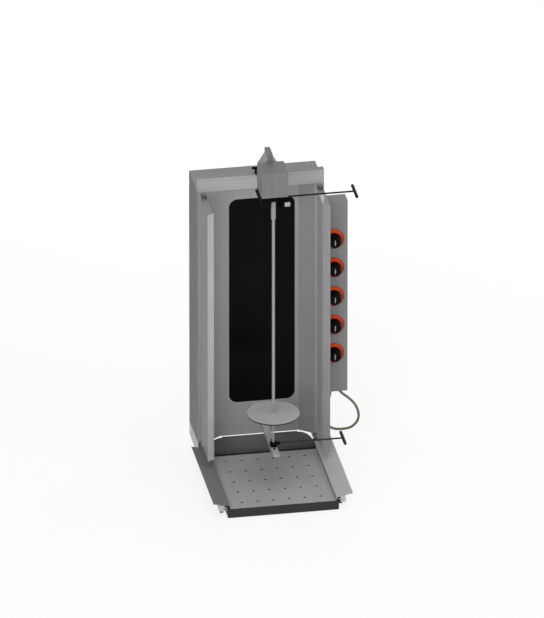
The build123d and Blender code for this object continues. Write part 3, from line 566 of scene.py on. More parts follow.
# A pale inlay on each knob: painted highlight along its grip
GRIP_HIGHLIGHT = PlasticFinish("knob_grip_highlight", (0.32, 0.30, 0.31), 0.3)
DARK_PLASTIC = PlasticFinish("dark_moulded_plastic", (0.02, 0.02, 0.021), 0.5, relief=0.2)
CREAM_PLASTIC = PlasticFinish("cream_moulded_plastic", (0.6, 0.56, 0.47), 0.45)
SHEATH = PlasticFinish("cable_sheath", (0.13, 0.122, 0.075), 0.55, texture=500.0, relief=0.2)
# Drip tray
TRAY = SteelFinish("tray_steel_dark", 0.031, grain=Grain.ALONG_Y, roughness=0.5, metallic=0.05,
                   specular=0.1)
# Set lighter than the tray steel: painted light on the upstand and its hem, which stand in partial
# shadow
TRAY_BACK = SteelFinish("tray_back_steel", 0.116, grain=Grain.ALONG_X, metallic=0.05, specular=0.1)
# Set lighter: painted light against the shade in the tray; also the bearing's clamp foot
PERFORATED = SteelFinish("perforated_steel", 0.37, grain=Grain.ALONG_Y, wear=0.0)
# Near-black steel for thin beads: painted shade that darkens the drain holes, and the rings at the
# hinge pins
RIM = SteelFinish("dark_bead_steel", 0.015, grain=Grain.PLAIN, metallic=0.05, specular=0.05,
                  wear=0.0)


class Palette:
    """Each finish's material, built once."""

    def __init__(self) -> None:
        """Start with no materials."""
        self.made: dict[str, Material] = {}

    def __getitem__(self, finish: Finish) -> Material:
        """The material of a finish.

        Args:
            finish: The finish.

        Returns:
            Its material, built at the first call.
        """
        if finish.name not in self.made:
            self.made[finish.name] = finish.material()
        return self.made[finish.name]


PALETTE = Palette()


def link(name: str, data: bpy.types.ID) -> Piece:
    """Put data in the scene as an object at the origin.

    Args:
        name: The object's name.
        data: A mesh, curve, light or camera.

    Returns:
        The object.
    """
    piece = bpy.data.objects.new(name, data)
    bpy.context.scene.collection.objects.link(piece)
    return piece


def settled(piece: Piece) -> None:
    """Swap an object's mesh for what its modifiers make of it, and remove the modifiers.

    Args:
        piece: The object.
    """
    bpy.context.view_layer.update()
    evaluated = piece.evaluated_get(bpy.context.evaluated_depsgraph_get())
    mesh = bpy.data.meshes.new_from_object(evaluated)
    mesh.name = piece.name
    piece.modifiers.clear()
    piece.data = mesh


def body_of_node(node: str) -> str:
    """The name of the body that a node belongs to."""
    bodies = frame["record"]["behaviour"]["bodies"]
    return next(body for body, members in bodies.items() if node in members)


def slot_of_node(node: str) -> str:
    """The record's material slot of a node."""
    return next(row["material_slot"] for row in frame["record"]["subparts"] if row["node"] == node)


def middle(node: str) -> Vector:
    """The middle of a node's box."""
    low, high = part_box(node)
    return (low + high) / 2


def picture_zero() -> Vector:
    """The point on the ground, under the top's front, that the camera and cable are placed from."""
    return Vector((middle("top_panel").x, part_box("top_panel")[0].y, 0.0))


def dress(**finishes: Finish) -> None:
    """Give solids their finishes and keep their shapes.

    Args:
        finishes: The finish of each solid, by the solid's name.
    """
    for node, finish in finishes.items():
        mesh = frame["nodes"][node].data
        mesh.materials.clear()
        mesh.materials.append(PALETTE[finish])
        log.info("%s dressed as %s", node, finish.name)


class Edge(Enum):
    """How far a piece's edges are rounded."""

    THIN = 0.2 * MM
    FINE = 0.3 * MM
    SHEET = 0.45 * MM
    PLATE = 0.5 * MM
    BLOCK = 0.6 * MM
    CAST = 0.8 * MM


@dataclass(frozen=True)
class Accent:
    """A second finish for the faces that look one way."""

    finish: Finish
    normal: Triple
    least: float = 0.98
    most: float = 2.0
    beyond: float = 0.0

    def takes(self, face: bpy.types.MeshPolygon, centre: float) -> bool:
        """Whether a face looks the accent's way and is far enough from the piece's middle."""
        toward = face.normal.dot(Vector(self.normal))
        return self.least < toward < self.most and abs(face.center.x - centre) >= self.beyond


# What counts as one point, a flat joint, a sharp edge and an edge to round
SAME_PLACE = 0.002 * MM
FLAT_ANGLE = math.radians(0.3)
SHARP_ANGLE = math.radians(50)
BEVEL_ANGLE = math.radians(40)


def soften(node: str, finish: Finish, *accents: Accent, edge: Edge = Edge.SHEET) -> None:
    """Replace a solid by the same shape with softened edges.

    Args:
        node: The solid's name.
        finish: The finish that the new piece gets.
        accents: Other finishes for some of its faces.
        edge: How far each edge is rounded.
    """
    mesh = bpy.data.meshes.new(f"{node}_soft")
    work = bmesh.new()
    work.from_mesh(frame["nodes"][node].data)
    bmesh.ops.remove_doubles(work, verts=work.verts, dist=SAME_PLACE)
    bmesh.ops.dissolve_limit(work, angle_limit=FLAT_ANGLE, verts=work.verts, edges=work.edges)
    work.to_mesh(mesh)
    work.free()
    mesh.polygons.foreach_set("use_smooth", [True] * len(mesh.polygons))
    mesh.set_sharp_from_angle(angle=SHARP_ANGLE)
    mesh.materials.clear()
    mesh.materials.append(PALETTE[finish])
    centre = middle(node).x
    for index, accent in enumerate(accents, start=1):
        mesh.materials.append(PALETTE[accent.finish])
        for face in mesh.polygons:
            if accent.takes(face, centre):
                face.material_index = index
    piece = link(f"{node}_soft", mesh)
    bevel = piece.modifiers.new("edges", "BEVEL")
    bevel.width = edge.value
    bevel.segments = 2
    bevel.limit_method = "ANGLE"
    bevel.angle_limit = BEVEL_ANGLE
    weighted = piece.modifiers.new("normals", "WEIGHTED_NORMAL")
    weighted.keep_sharp = True
    settled(piece)
    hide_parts(node)
    slot_of_node(node)
    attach(piece, body_of_node(node))
    log.info("%s softened as %s, %d faces", node, finish.name, len(piece.data.polygons))


def soften_all(edge: Edge = Edge.SHEET, **finishes: Finish) -> None:
    """Soften several solids.

    Args:
        edge: How far each edge is rounded.
        finishes: The finish of each solid, by the solid's name.
    """
    for node, finish in finishes.items():
        soften(node, finish, edge=edge)


VECTOR = "NodeSocketVector"
FLOAT = "NodeSocketFloat"
WHOLE = "NodeSocketInt"
MATERIAL = "NodeSocketMaterial"


class Pattern(Tree):
    """A geometry tree that repeats a small form in a row and turns into one plain mesh."""

    PREFIX = "GeometryNode"
    ROW = {"Count": WHOLE, "Start": VECTOR, "Step": VECTOR, "Material": MATERIAL}

    def __init__(self, name: str, **extra: str) -> None:
        """Start a geometry tree with a row of points.

        Args:
            name: The tree's name.
            extra: The socket type of each input besides the row's own, by name.
        """
        group = bpy.data.node_groups.new(name, "GeometryNodeTree")
        super().__init__(group)
        self.keys: dict[str, str] = {}
        for label, kind in {**self.ROW, **extra}.items():
            socket = group.interface.new_socket(label, in_out="INPUT", socket_type=kind)
            self.keys[label] = socket.identifier
        group.interface.new_socket("Geometry", in_out="OUTPUT", socket_type="NodeSocketGeometry")
        self.given = self.tree.nodes.new("NodeGroupInput").outputs
        self.points = self.node("MeshLine", {"mode": "OFFSET"},
                                Count=self.given["Count"], Start_Location=self.given["Start"],
                                Offset=self.given["Step"])

    def value(self, label: str) -> Signal:
        """A named input as a signal."""
        return Signal(self, self.given[label])

    def lifted(self, form: Node, rise: Signal) -> Node:
        """A form moved up."""
        way = self.node("ShaderNodeCombineXYZ", Z=rise)
        return self.node("Transform", Geometry=form, Translation=way)

    def cut(self, form: Node, tool: Node) -> Node:
        """A form with the space of another taken out of it."""
        settings = {"operation": "DIFFERENCE"}
        return self.node("MeshBoolean", settings, Mesh_1=form, Mesh_2=tool)

    def close(self, form: Node) -> None:
        """Repeat a form on the row and finish the tree.

        Args:
            form: What is repeated. It is turned if the tree has that input.
        """
        turn = {"Rotation": self.given["Turn"]} if "Turn" in self.keys else {}
        copies = self.node("InstanceOnPoints", Points=self.points, Instance=form, **turn)
        real = self.node("RealizeInstances", Geometry=copies)
        dressed = self.node("SetMaterial", Geometry=real, Material=self.given["Material"])
        self.feed(self.tree.nodes.new("NodeGroupOutput").inputs["Geometry"], dressed)

    def mesh(self, finish: Finish, **values: object) -> Mesh:
        """Run the tree.

        Args:
            finish: What the row is made of.
            values: What each other input gets, by name.

        Returns:
            The plain mesh.
        """
        carrier = link(self.tree.name, bpy.data.meshes.new(self.tree.name))
        run = carrier.modifiers.new("pattern", "NODES")
        run.node_group = self.tree
        for label, value in {**values, "Material": PALETTE[finish]}.items():
            run[self.keys[label]] = value
        settled(carrier)
        mesh = carrier.data
        bpy.data.objects.remove(carrier)
        return mesh


class ScrewRow(Pattern):
    """A row of slotted pan-head screws."""

    SIDES = 20
    CROWN_TOP, CROWN_RISE = 0.72, 0.5  # shares of the head's radius and height
    SLOT_LENGTH, SLOT_WIDTH, SLOT_DEPTH = 3.0, 0.24, 0.7

    def __init__(self) -> None:
        """Build the tree."""
        super().__init__("screw_row", Turn=VECTOR, Radius=FLOAT, Height=FLOAT)
        radius, height = self.value("Radius"), self.value("Height")
        rim_and_painted_shade = self.node("MeshCylinder", Vertices=self.SIDES, Radius=radius, Depth=height)
        crown = self.node("MeshCone", Vertices=self.SIDES, Radius_Bottom=radius,
                          Radius_Top=radius * self.CROWN_TOP, Depth=height * self.CROWN_RISE)
        crown = self.lifted(crown, height * 0.5)
        head = self.node("JoinGeometry", Geometry=[rim_and_painted_shade, crown])
        head = self.node("MergeByDistance", Geometry=head, Distance=0.01 * MM)
        size = self.node("ShaderNodeCombineXYZ", X=radius * self.SLOT_LENGTH,
                         Y=radius * self.SLOT_WIDTH, Z=height * self.SLOT_DEPTH)
        slot = self.lifted(self.node("MeshCube", Size=size), height)
        self.close(self.cut(head, slot))


class BoltRow(Pattern):
    """A row of hexagon bolt heads on washers."""

    WASHER_SIDES = 24
    WASHER_WIDTH, WASHER_RISE = 1.3, 0.5  # shares of the head's radius and height
    HEAD_LIFT = 0.6

    def __init__(self) -> None:
        """Build the tree."""
        super().__init__("bolt_row", Turn=VECTOR, Radius=FLOAT, Height=FLOAT)
        radius, height = self.value("Radius"), self.value("Height")
        washer = self.node("MeshCylinder", Vertices=self.WASHER_SIDES,
                           Radius=radius * self.WASHER_WIDTH, Depth=height * self.WASHER_RISE)
        hexagon = self.node("MeshCylinder", Vertices=6, Radius=radius, Depth=height)
        hexagon = self.lifted(hexagon, height * self.HEAD_LIFT)
        self.close(self.node("JoinGeometry", Geometry=[washer, hexagon]))


class RingRow(Pattern):
    """A row of thin round beads."""

    RING_SIDES, BEAD_SIDES = 40, 6

    def __init__(self) -> None:
        """Build the tree."""
        super().__init__("ring_row", Radius=FLOAT, Bead=FLOAT)
        circle = "CurvePrimitiveCircle"
        ring = self.node(circle, Resolution=self.RING_SIDES, Radius=self.given["Radius"])
        bead = self.node(circle, Resolution=self.BEAD_SIDES, Radius=self.given["Bead"])
        self.close(self.node("CurveToMesh", Curve=ring, Profile_Curve=bead))


class LouvreRow(Pattern):
    """A row of pressed hoods over vent slots."""

    def __init__(self) -> None:
        """Build the tree."""
        super().__init__("louvre_row", Length=FLOAT, Rise=FLOAT, Drop=FLOAT)
        ball = self.node("MeshUVSphere", Segments=24, Rings=12, Radius=0.5)
        size = self.node("ShaderNodeCombineXYZ", X=self.given["Length"], Y=self.value("Rise") * 2.0,
                         Z=self.value("Drop") * 2.0)
        hood = self.node("Transform", Geometry=ball, Scale=size)
        below = self.node("MeshCube", Size=(1.0, 1.0, 1.0))
        below = self.node("Transform", Geometry=below, Translation=(0.0, 0.0, -0.5))
        self.close(self.cut(hood, below))


class WeldRow(Pattern):
    """A row of overlapping weld ripples."""

    FLATTEN = (0.75, 1.0, 1.0)

    def __init__(self) -> None:
        """Build the tree."""
        super().__init__("weld_row", Turn=VECTOR, Radius=FLOAT)
        ripple = self.node("MeshIcoSphere", Radius=self.given["Radius"], Subdivisions=2)
        self.close(self.node("Transform", Geometry=ripple, Scale=self.FLATTEN))


Spot = tuple[float, float]
Outline = list[Triple]


@dataclass(frozen=True)
class Fitting:
    """A small piece that only the visual model has."""

    name: str
    finish: Finish
    body: str
    slot: str

    def place(self, work: bmesh.types.BMesh) -> None:
        """Turn a worked shape into the piece.

        Args:
            work: The shape, which is used up.
        """
        mesh = bpy.data.meshes.new(self.name)
        work.to_mesh(mesh)
        work.free()
        mesh.materials.append(PALETTE[self.finish])
        piece = link(self.name, mesh)
        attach(piece, self.body)
        log.info("%s on %s, %d faces", self.name, self.body, len(mesh.polygons))

    def gather(self, *meshes: Mesh) -> None:
        """Join plain meshes into the piece.

        Args:
            meshes: The meshes.
        """
        work = bmesh.new()
        for mesh in meshes:
            work.from_mesh(mesh)
        for face in work.faces:
            face.material_index = 0
        self.place(work)

    def extrude(self, push: Triple, *outlines: Outline) -> None:
        """Push out flat outlines into the piece.

        Args:
            push: How far they are pushed out, and which way.
            outlines: The corners of each outline.
        """
        work = bmesh.new()
        for outline in outlines:
            face = work.faces.new([work.verts.new(corner) for corner in outline])
            pushed = bmesh.ops.extrude_face_region(work, geom=[face])
            moved = [item for item in pushed["geom"] if isinstance(item, bmesh.types.BMVert)]
            bmesh.ops.translate(work, verts=moved, vec=push)
        bmesh.ops.recalc_face_normals(work, faces=work.faces)
        self.place(work)


def rectangle(xs: Spot, ys: Spot, z: float) -> Outline:
    """A level outline from one x to another and from one y to another."""
    return [(xs[0], ys[0], z), (xs[1], ys[0], z), (xs[1], ys[1], z), (xs[0], ys[1], z)]


class Facing(Enum):
    """The turn that points a fitting drawn along Z in a direction."""

    UP = (0.0, 0.0, 0.0)
    FRONT = (math.pi / 2, 0.0, 0.0)
    BACK = (-math.pi / 2, 0.0, 0.0)
    RIGHT = (0.0, math.pi / 2, 0.0)
    LEFT = (0.0, -math.pi / 2, 0.0)


class Head(Enum):
    """The kinds of fastener."""

    SCREW = auto()
    BOLT = auto()


@dataclass
class Fittings:
    """The fastener, weld and ring patterns, each tree built once."""

    screw_radius: float = 3.4 * MM
    screw_height: float = 1.5 * MM
    bolt_radius: float = 5.0 * MM
    bolt_height: float = 3.6 * MM
    weld_radius: float = 1.5 * MM
    weld_step: float = 1.65 * MM

    def __post_init__(self) -> None:
        """Build the trees."""
        self.kinds = {Head.SCREW: (ScrewRow(), self.screw_radius, self.screw_height),
                      Head.BOLT: (BoltRow(), self.bolt_radius, self.bolt_height)}
        self.welds = WeldRow()
        self.rings = RingRow()

    def heads(self, kind: Head, start: Triple, end: Triple, count: int, facing: Facing) -> Mesh:
        """A row of fasteners between two places on a face.

        Args:
            kind: Screws or bolts.
            start: The first one's place.
            end: The last one's place.
            count: How many, at least two.
            facing: Which way the heads point.

        Returns:
            The mesh of the row.
        """
        pattern, radius, height = self.kinds[kind]
        step = (Vector(end) - Vector(start)) / (count - 1)
        return pattern.mesh(PLATED, Count=count, Start=start, Step=step, Turn=facing.value,
                            Radius=radius, Height=height)

    def weld(self, start: Vector, end: Vector, finish: Finish) -> Mesh:
        """A weld bead between two points.

        Args:
            start: One end.
            end: The other end.
            finish: The finish of the bead.

        Returns:
            The mesh of the bead.
        """
        run = end - start
        count = max(2, round(run.length / self.weld_step) + 1)
        turn = run.to_track_quat("X", "Z").to_euler()
        return self.welds.mesh(finish, Count=count, Start=start, Step=run / (count - 1),
                               Turn=tuple(turn), Radius=self.weld_radius)


@dataclass
class Assembly:
    """A group of pieces that is dressed together and has the shared fittings at hand."""

    fittings: Fittings


@dataclass
class Cabinet(Assembly):
    """The casing, its base and the strip above the burner."""

    right_wall: Triple = (-0.573, -0.819, 0.0)
    louvre_length: float = 66.0 * MM
    louvre_rise: float = 1.9 * MM
    louvre_drop: float = 4.0 * MM
    vent_pitch: float = 14.0 * MM
    vent_count: int = 10
    vent_bottom: float = 762.5 * MM
    vent_offset: float = 57.65 * MM
    screw_count: int = 4
    side_inset: float = 14.0 * MM
    side_end: float = 35.0 * MM
    strip_end: float = 21.0 * MM
    seal_inset: float = 0.2 * MM
    seal_width: float = 1.0 * MM
    seal_bottom: float = 36.4 * MM
    seal_rise: float = 1.9 * MM

    def build(self) -> None:
        """Dress the casing and add its fittings."""
        # The sides and back take the darker sheet copy: painted shade on the side faces
        soften_all(side_panel_left=SHEET, side_panel_right=SHEET, back_panel=SHEET)
        # Painted light lifts the recess, and a darker copy paints shade on its right-hand wall
        soften("front_reflector", REFLECTOR, Accent(REFLECTOR_RIGHT, self.right_wall))
        soften_all(top_panel=SHEET_ACROSS, fascia=SHEET_ACROSS)
        soften("name_plate", PLATE, edge=Edge.FINE)
        # The left flap takes the darker flap copy, painted shade, and its mirror twin the rail
        # steel
        soften_all(base_rail_left=RAIL, base_rail_right=RAIL, rear_cross_member=FLAP_DARK,
                   drip_flap_left=FLAP_DARK, drip_flap_right=RAIL)
        dress(rubber_feet=RUBBER, cabinet_screws=PLATED)
        self.louvres()
        self.casing_screws()
        self.flap_seal("drip_flap_left", FLAP_DARK, 1.0, "grey_steel")
        self.flap_seal("drip_flap_right", RAIL, -1.0, "light_steel")

    def flap_seal(self, node: str, finish: Finish, side: float, slot: str) -> None:
        """A thin strip under a flap's inner edge.

        Args:
            node: The flap.
            finish: The flap's finish.
            side: 1 where the inner edge is at the right and -1 where it is at the left.
            slot: The record's material slot.
        """
        low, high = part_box(node)
        edge = (high.x if side > 0 else low.x) - side * self.seal_inset
        left, right = sorted((edge, edge - side * self.seal_width))
        outline = rectangle((left, right), (low.y, high.y), self.seal_bottom)
        seal = Fitting(f"{node}_seal", finish, "cabinet", slot)
        seal.extrude((0.0, 0.0, self.seal_rise), outline)

    def louvres(self) -> None:
        """Pressed hoods over the vent slots in the back."""
        centre, back = middle("back_panel").x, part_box("back_panel")[1].y
        pattern = LouvreRow()
        columns = []
        for offset in (-self.vent_offset, self.vent_offset):
            start = (centre + offset, back, self.vent_bottom)
            columns.append(pattern.mesh(SHEET, Count=self.vent_count, Start=start,
                                        Step=(0.0, 0.0, self.vent_pitch), Length=self.louvre_length,
                                        Rise=self.louvre_rise, Drop=self.louvre_drop))
        Fitting("back_louvres", SHEET, "cabinet", "sheet_steel").gather(*columns)

    def casing_screws(self) -> None:
        """Screws down both sides and along the back of the strip."""
        low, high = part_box("side_panel_left")
        y = high.y - self.side_inset
        bottom, top = low.z + self.side_end, high.z - self.side_end
        rows = []
        for x, facing in ((low.x, Facing.LEFT), (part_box("side_panel_right")[1].x, Facing.RIGHT)):
            rows.append(self.fittings.heads(Head.SCREW, (x, y, bottom), (x, y, top),
                                            self.screw_count, facing))
        low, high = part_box("fascia")
        left, right, z = low.x + self.strip_end, high.x - self.strip_end, middle("fascia").z
        rows.append(self.fittings.heads(Head.SCREW, (left, high.y, z), (right, high.y, z),
                                        self.screw_count, Facing.BACK))
        Fitting("casing_screws", PLATED, "cabinet", "plated_steel").gather(*rows)


@dataclass
class Burner(Assembly):
    """The glass front and what is behind it."""

    def build(self) -> None:
        """Dress the burner."""
        soften("glass_panel", GLASS, edge=Edge.PLATE)
        dress(glass_gasket=BOARD, glass_clips=PLATED, radiant_heaters=HEATER,
              insulation_board=BOARD, burner_brackets=PLATED)


@dataclass
class Doors(Assembly):
    """Both side doors, their caps and their hinges."""

    lip_normal: Triple = (0.488, -0.873, 0.0)
    cap_inset: float = 1.45 * MM
    cap_front: float = 14.6 * MM
    cap_nose: float = 2.9 * MM
    cap_rear: float = 18.7 * MM
    cap_drop: float = 0.6 * MM
    cap_thickness: float = 1.2 * MM
    gusset_rear: float = 38.0 * MM
    gusset_thickness: float = 0.6 * MM
    ring_radius: float = 7.8 * MM
    ring_bead: float = 1.9 * MM
    pin_inset: float = 10.0 * MM

    def build(self) -> None:
        """Dress the doors, the left one with a bright lip and the right one with painted light on
        its shaded inside.
        """
        # The two doors are darker and lighter copies of one steel: painted shade and light
        soften("left_door_panel", DOOR, Accent(BRIGHT, self.lip_normal))
        soften("right_door_panel", DOOR_RIGHT, Accent(DOOR_INNER, LEFT))
        soften("hinge_brackets", HINGE, edge=Edge.BLOCK)
        self.cap("left_door", -1.0)
        self.cap("right_door", 1.0)
        self.pin_rings()

    def cap(self, body: str, side: float) -> None:
        """The plate that closes the top of a door, and a bright gusset on the right one.

        Args:
            body: Which door.
            side: 1 for the right door and -1 for the left one.
        """
        low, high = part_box(f"{body}_panel")
        inner, outer = (low.x, high.x) if side > 0 else (high.x, low.x)
        inner, outer = inner + side * self.cap_inset, outer - side * self.cap_inset
        front, nose, rear = low.y + self.cap_front, low.y + self.cap_nose, high.y - self.cap_rear
        top = high.z - self.cap_drop
        z = top - self.cap_thickness
        outline = [(inner, rear, z), (inner, front, z), (outer, nose, z), (outer, rear, z)]
        cover = Fitting(f"{body}_cap", DOOR_CAP, body, "door_steel")
        cover.extrude((0.0, 0.0, self.cap_thickness), outline)
        if side > 0:
            rear = high.y - self.gusset_rear
            outline = [(inner, rear, top), (inner, front, top), (outer, rear, top)]
            gusset = Fitting("door_gusset", GUSSET, body, "door_steel")
            gusset.extrude((0.0, 0.0, self.gusset_thickness), outline)

    def pin_rings(self) -> None:
        """A dark ring round each upper hinge pin."""
        low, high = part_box("hinge_brackets")
        start = (low.x + self.pin_inset, low.y + self.pin_inset, high.z)
        step = (high.x - low.x - 2 * self.pin_inset, 0.0, 0.0)
        rings = self.fittings.rings.mesh(RIM, Count=2, Start=start, Step=step,
                                         Radius=self.ring_radius, Bead=self.ring_bead)
        Fitting("hinge_rings", RIM, "cabinet", "grey_steel").gather(rings)


@dataclass
class DriveHead(Assembly):
    """The arm, the carriage and the motor on it."""

    bolt_inset: float = 23.0 * MM
    bolt_offset: float = 10.0 * MM
    cover_inset: float = 10.0 * MM
    left_slope: Triple = (-0.848, 0.0, 0.53)
    slope_least: float = 0.9

    def build(self) -> None:
        """Dress the drive head and add its fittings."""
        soften_all(Edge.CAST, arm_pedestal=BLACK, motor_arm=BLACK, carriage_block=BLACK,
                   carriage_keepers=BLACK)
        soften("motor_housing", COVER, edge=Edge.BLOCK)
        # The hood's left slope takes the lighter copy: painted light
        soften("neck_hood", COVER, Accent(COVER_SIDE, self.left_slope, self.slope_least),
               edge=Edge.BLOCK)
        soften("stop_plate", PLATE, edge=Edge.PLATE)
        dress(gear_plate=PLATED, drive_motor=MOTOR_GREY, motor_pinion=GEAR, output_gear=GEAR,
              drive_shaft=SPIT)
        self.arm_bolts()
        self.cover_screws()

    def arm_bolts(self) -> None:
        """Bolts through the arm into its seat."""
        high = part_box("motor_arm")[1]
        centre, y = middle("motor_arm").x, high.y - self.bolt_inset
        row = self.fittings.heads(Head.BOLT, (centre - self.bolt_offset, y, high.z),
                                  (centre + self.bolt_offset, y, high.z), 2, Facing.UP)
        Fitting("arm_bolts", PLATED, "cabinet", "plated_steel").gather(row)

    def cover_screws(self) -> None:
        """Screws along the lower edges of the motor's cover."""
        low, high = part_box("motor_housing")
        z = low.z + self.cover_inset
        front, back = low.y + self.cover_inset, high.y - self.cover_inset
        rows = []
        for x, facing in ((low.x, Facing.LEFT), (high.x, Facing.RIGHT)):
            rows.append(self.fittings.heads(Head.SCREW, (x, front, z), (x, back, z), 2, facing))
        Fitting("cover_screws", PLATED, "carriage", "plated_steel").gather(*rows)


@dataclass
class SpitTrain(Assembly):
    """The spit, its disc and the bearing under it."""

    bolt_inset: float = 11.0 * MM
    flange_reach: float = 29.0 * MM
    bar_half: float = 11.75 * MM
    bar_top: float = 163.0 * MM
    edge_least: float = -0.9
    edge_most: float = 0.5
    disc_drop: float = 3.3 * MM
    disc_bead: float = 1.9 * MM

    def build(self) -> None:
        """Dress the spit and its lower bearing, and add their fittings."""
        dress(spit_rod=SPIT, coupling_sleeve=SPIT)
        # The disc's upright edges are near black: painted shade
        soften("meat_disc", DISC, Accent(DISC_EDGE, UP, self.edge_least, self.edge_most),
               edge=Edge.THIN)
        # The arm's top takes the lighter copy: painted light in the disc's shadow
        soften("lower_arm", ARM_LIGHT, Accent(ARM_TOP, UP), edge=Edge.BLOCK)
        soften("bearing_block", BLACK, edge=Edge.BLOCK)
        soften("bearing_clamp_foot", PERFORATED, edge=Edge.PLATE)
        dress(bearing_bush=BRASS, top_clamp_handle=HANDLE, lower_clamp_handle=HANDLE_LOW)
        self.flange_bolts()
        self.disc_edge()

    def disc_edge(self) -> None:
        """The near-black bead under the disc: painted shade along its edge."""
        low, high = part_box("meat_disc")
        centre = middle("meat_disc")
        radius = (high.x - low.x) / 2 - self.disc_bead
        start = (centre.x, centre.y, high.z - self.disc_drop)
        edge = self.fittings.rings.mesh(DISC_EDGE, Count=1, Start=start, Radius=radius,
                                        Bead=self.disc_bead)
        Fitting("disc_edge", DISC_EDGE, "spit", "light_steel").gather(edge)

    def flange_bolts(self) -> None:
        """Bolts in the lower arm's wall flange and the weld along the bar's top."""
        low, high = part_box("lower_arm")
        left, right = low.x + self.bolt_inset, high.x - self.bolt_inset
        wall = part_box("front_reflector")[0].y + self.flange_reach
        rows = []
        for z in (low.z + self.bolt_inset, high.z - self.bolt_inset):
            rows.append(self.fittings.heads(Head.BOLT, (left, wall, z), (right, wall, z), 2,
                                            Facing.FRONT))
        Fitting("flange_bolts", PLATED, "cabinet", "plated_steel").gather(*rows)
        centre = middle("lower_arm").x
        bead = self.fittings.weld(Vector((centre - self.bar_half, wall, self.bar_top)),
                                  Vector((centre + self.bar_half, wall, self.bar_top)), ARM_LIGHT)
        Fitting("arm_weld", ARM_LIGHT, "cabinet", "light_steel").gather(bead)


@dataclass
class ControlColumn(Assembly):
    """The box at the side with its knobs and glands."""

    highlight_length: float = 25.0 * MM
    highlight_width: float = 4.4 * MM
    highlight_rise: float = 0.35 * MM
    highlight_steps: int = 12
    screw_count: int = 4
    screw_inset: float = 8.0 * MM
    screw_end: float = 32.0 * MM
    knob_count: int = 5
    ring_bright: Triple = (0.80, 0.066, 0.008)
    ring_deep: Triple = (0.15, 0.014, 0.004)
    ring_line: Triple = (0.34, 0.13, 0.05)

    def build(self) -> None:
        """Dress the column and add its pale grip highlights and screws."""
        # The shell's sides keep the darker sheet copy, painted shade, and its top takes the front's
        # lighter steel
        soften("control_box_shell", SHEET, Accent(CONTROL, UP))
        soften("control_box_front", CONTROL)
        dress(knob_bezels=self.ring_finish(), energy_regulators=DARK_PLASTIC,
              terminal_block=CREAM_PLASTIC, cable_glands=DARK_PLASTIC)
        for number in range(1, self.knob_count + 1):
            dress(**{f"knob_{number}": KNOB})
            self.grip_highlight(number)
        self.box_screws()

    def ring_finish(self) -> RingFinish:
        """The finish of the rings, placed on the knobs' middles.

        Returns:
            The finish.
        """
        first, last = middle("knob_1"), middle(f"knob_{self.knob_count}")
        knob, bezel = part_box("knob_1"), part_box("knob_bezels")
        return RingFinish("ring_orange_gloss", self.ring_bright, self.ring_deep, self.ring_line,
                          centre=(first.x, first.z),
                          pitch=(first.z - last.z) / (self.knob_count - 1),
                          inner=(knob[1].x - knob[0].x) / 2, outer=(bezel[1].x - bezel[0].x) / 2)

    def grip_highlight(self, number: int) -> None:
        """The pale lens-shaped inlay on a knob's face: a painted highlight along its grip.

        Args:
            number: Which knob, from the top.
        """
        name = f"knob_{number}"
        centre, face = middle(name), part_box(name)[0].y
        outline = []
        for index in range(2 * self.highlight_steps):
            side = 1.0 if index < self.highlight_steps else -1.0
            along = 2.0 * abs(index / self.highlight_steps - 1.0) - 1.0
            half = (1.0 - along * along) * self.highlight_width / 2
            rise = along * self.highlight_length / 2
            outline.append((centre.x + side * half, face, centre.z + rise))
        highlight_inlay = Fitting(f"{name}_pointer", GRIP_HIGHLIGHT, f"control_{number}", "light_steel")
        highlight_inlay.extrude((0.0, -self.highlight_rise, 0.0), outline)

    def box_screws(self) -> None:
        """Screws down the box's outer side."""
        low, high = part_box("control_box_shell")
        y = low.y + self.screw_inset
        bottom, top = low.z + self.screw_end, high.z - self.screw_end
        row = self.fittings.heads(Head.SCREW, (high.x, y, bottom), (high.x, y, top),
                                  self.screw_count, Facing.RIGHT)
        Fitting("box_screws", PLATED, "cabinet", "plated_steel").gather(row)


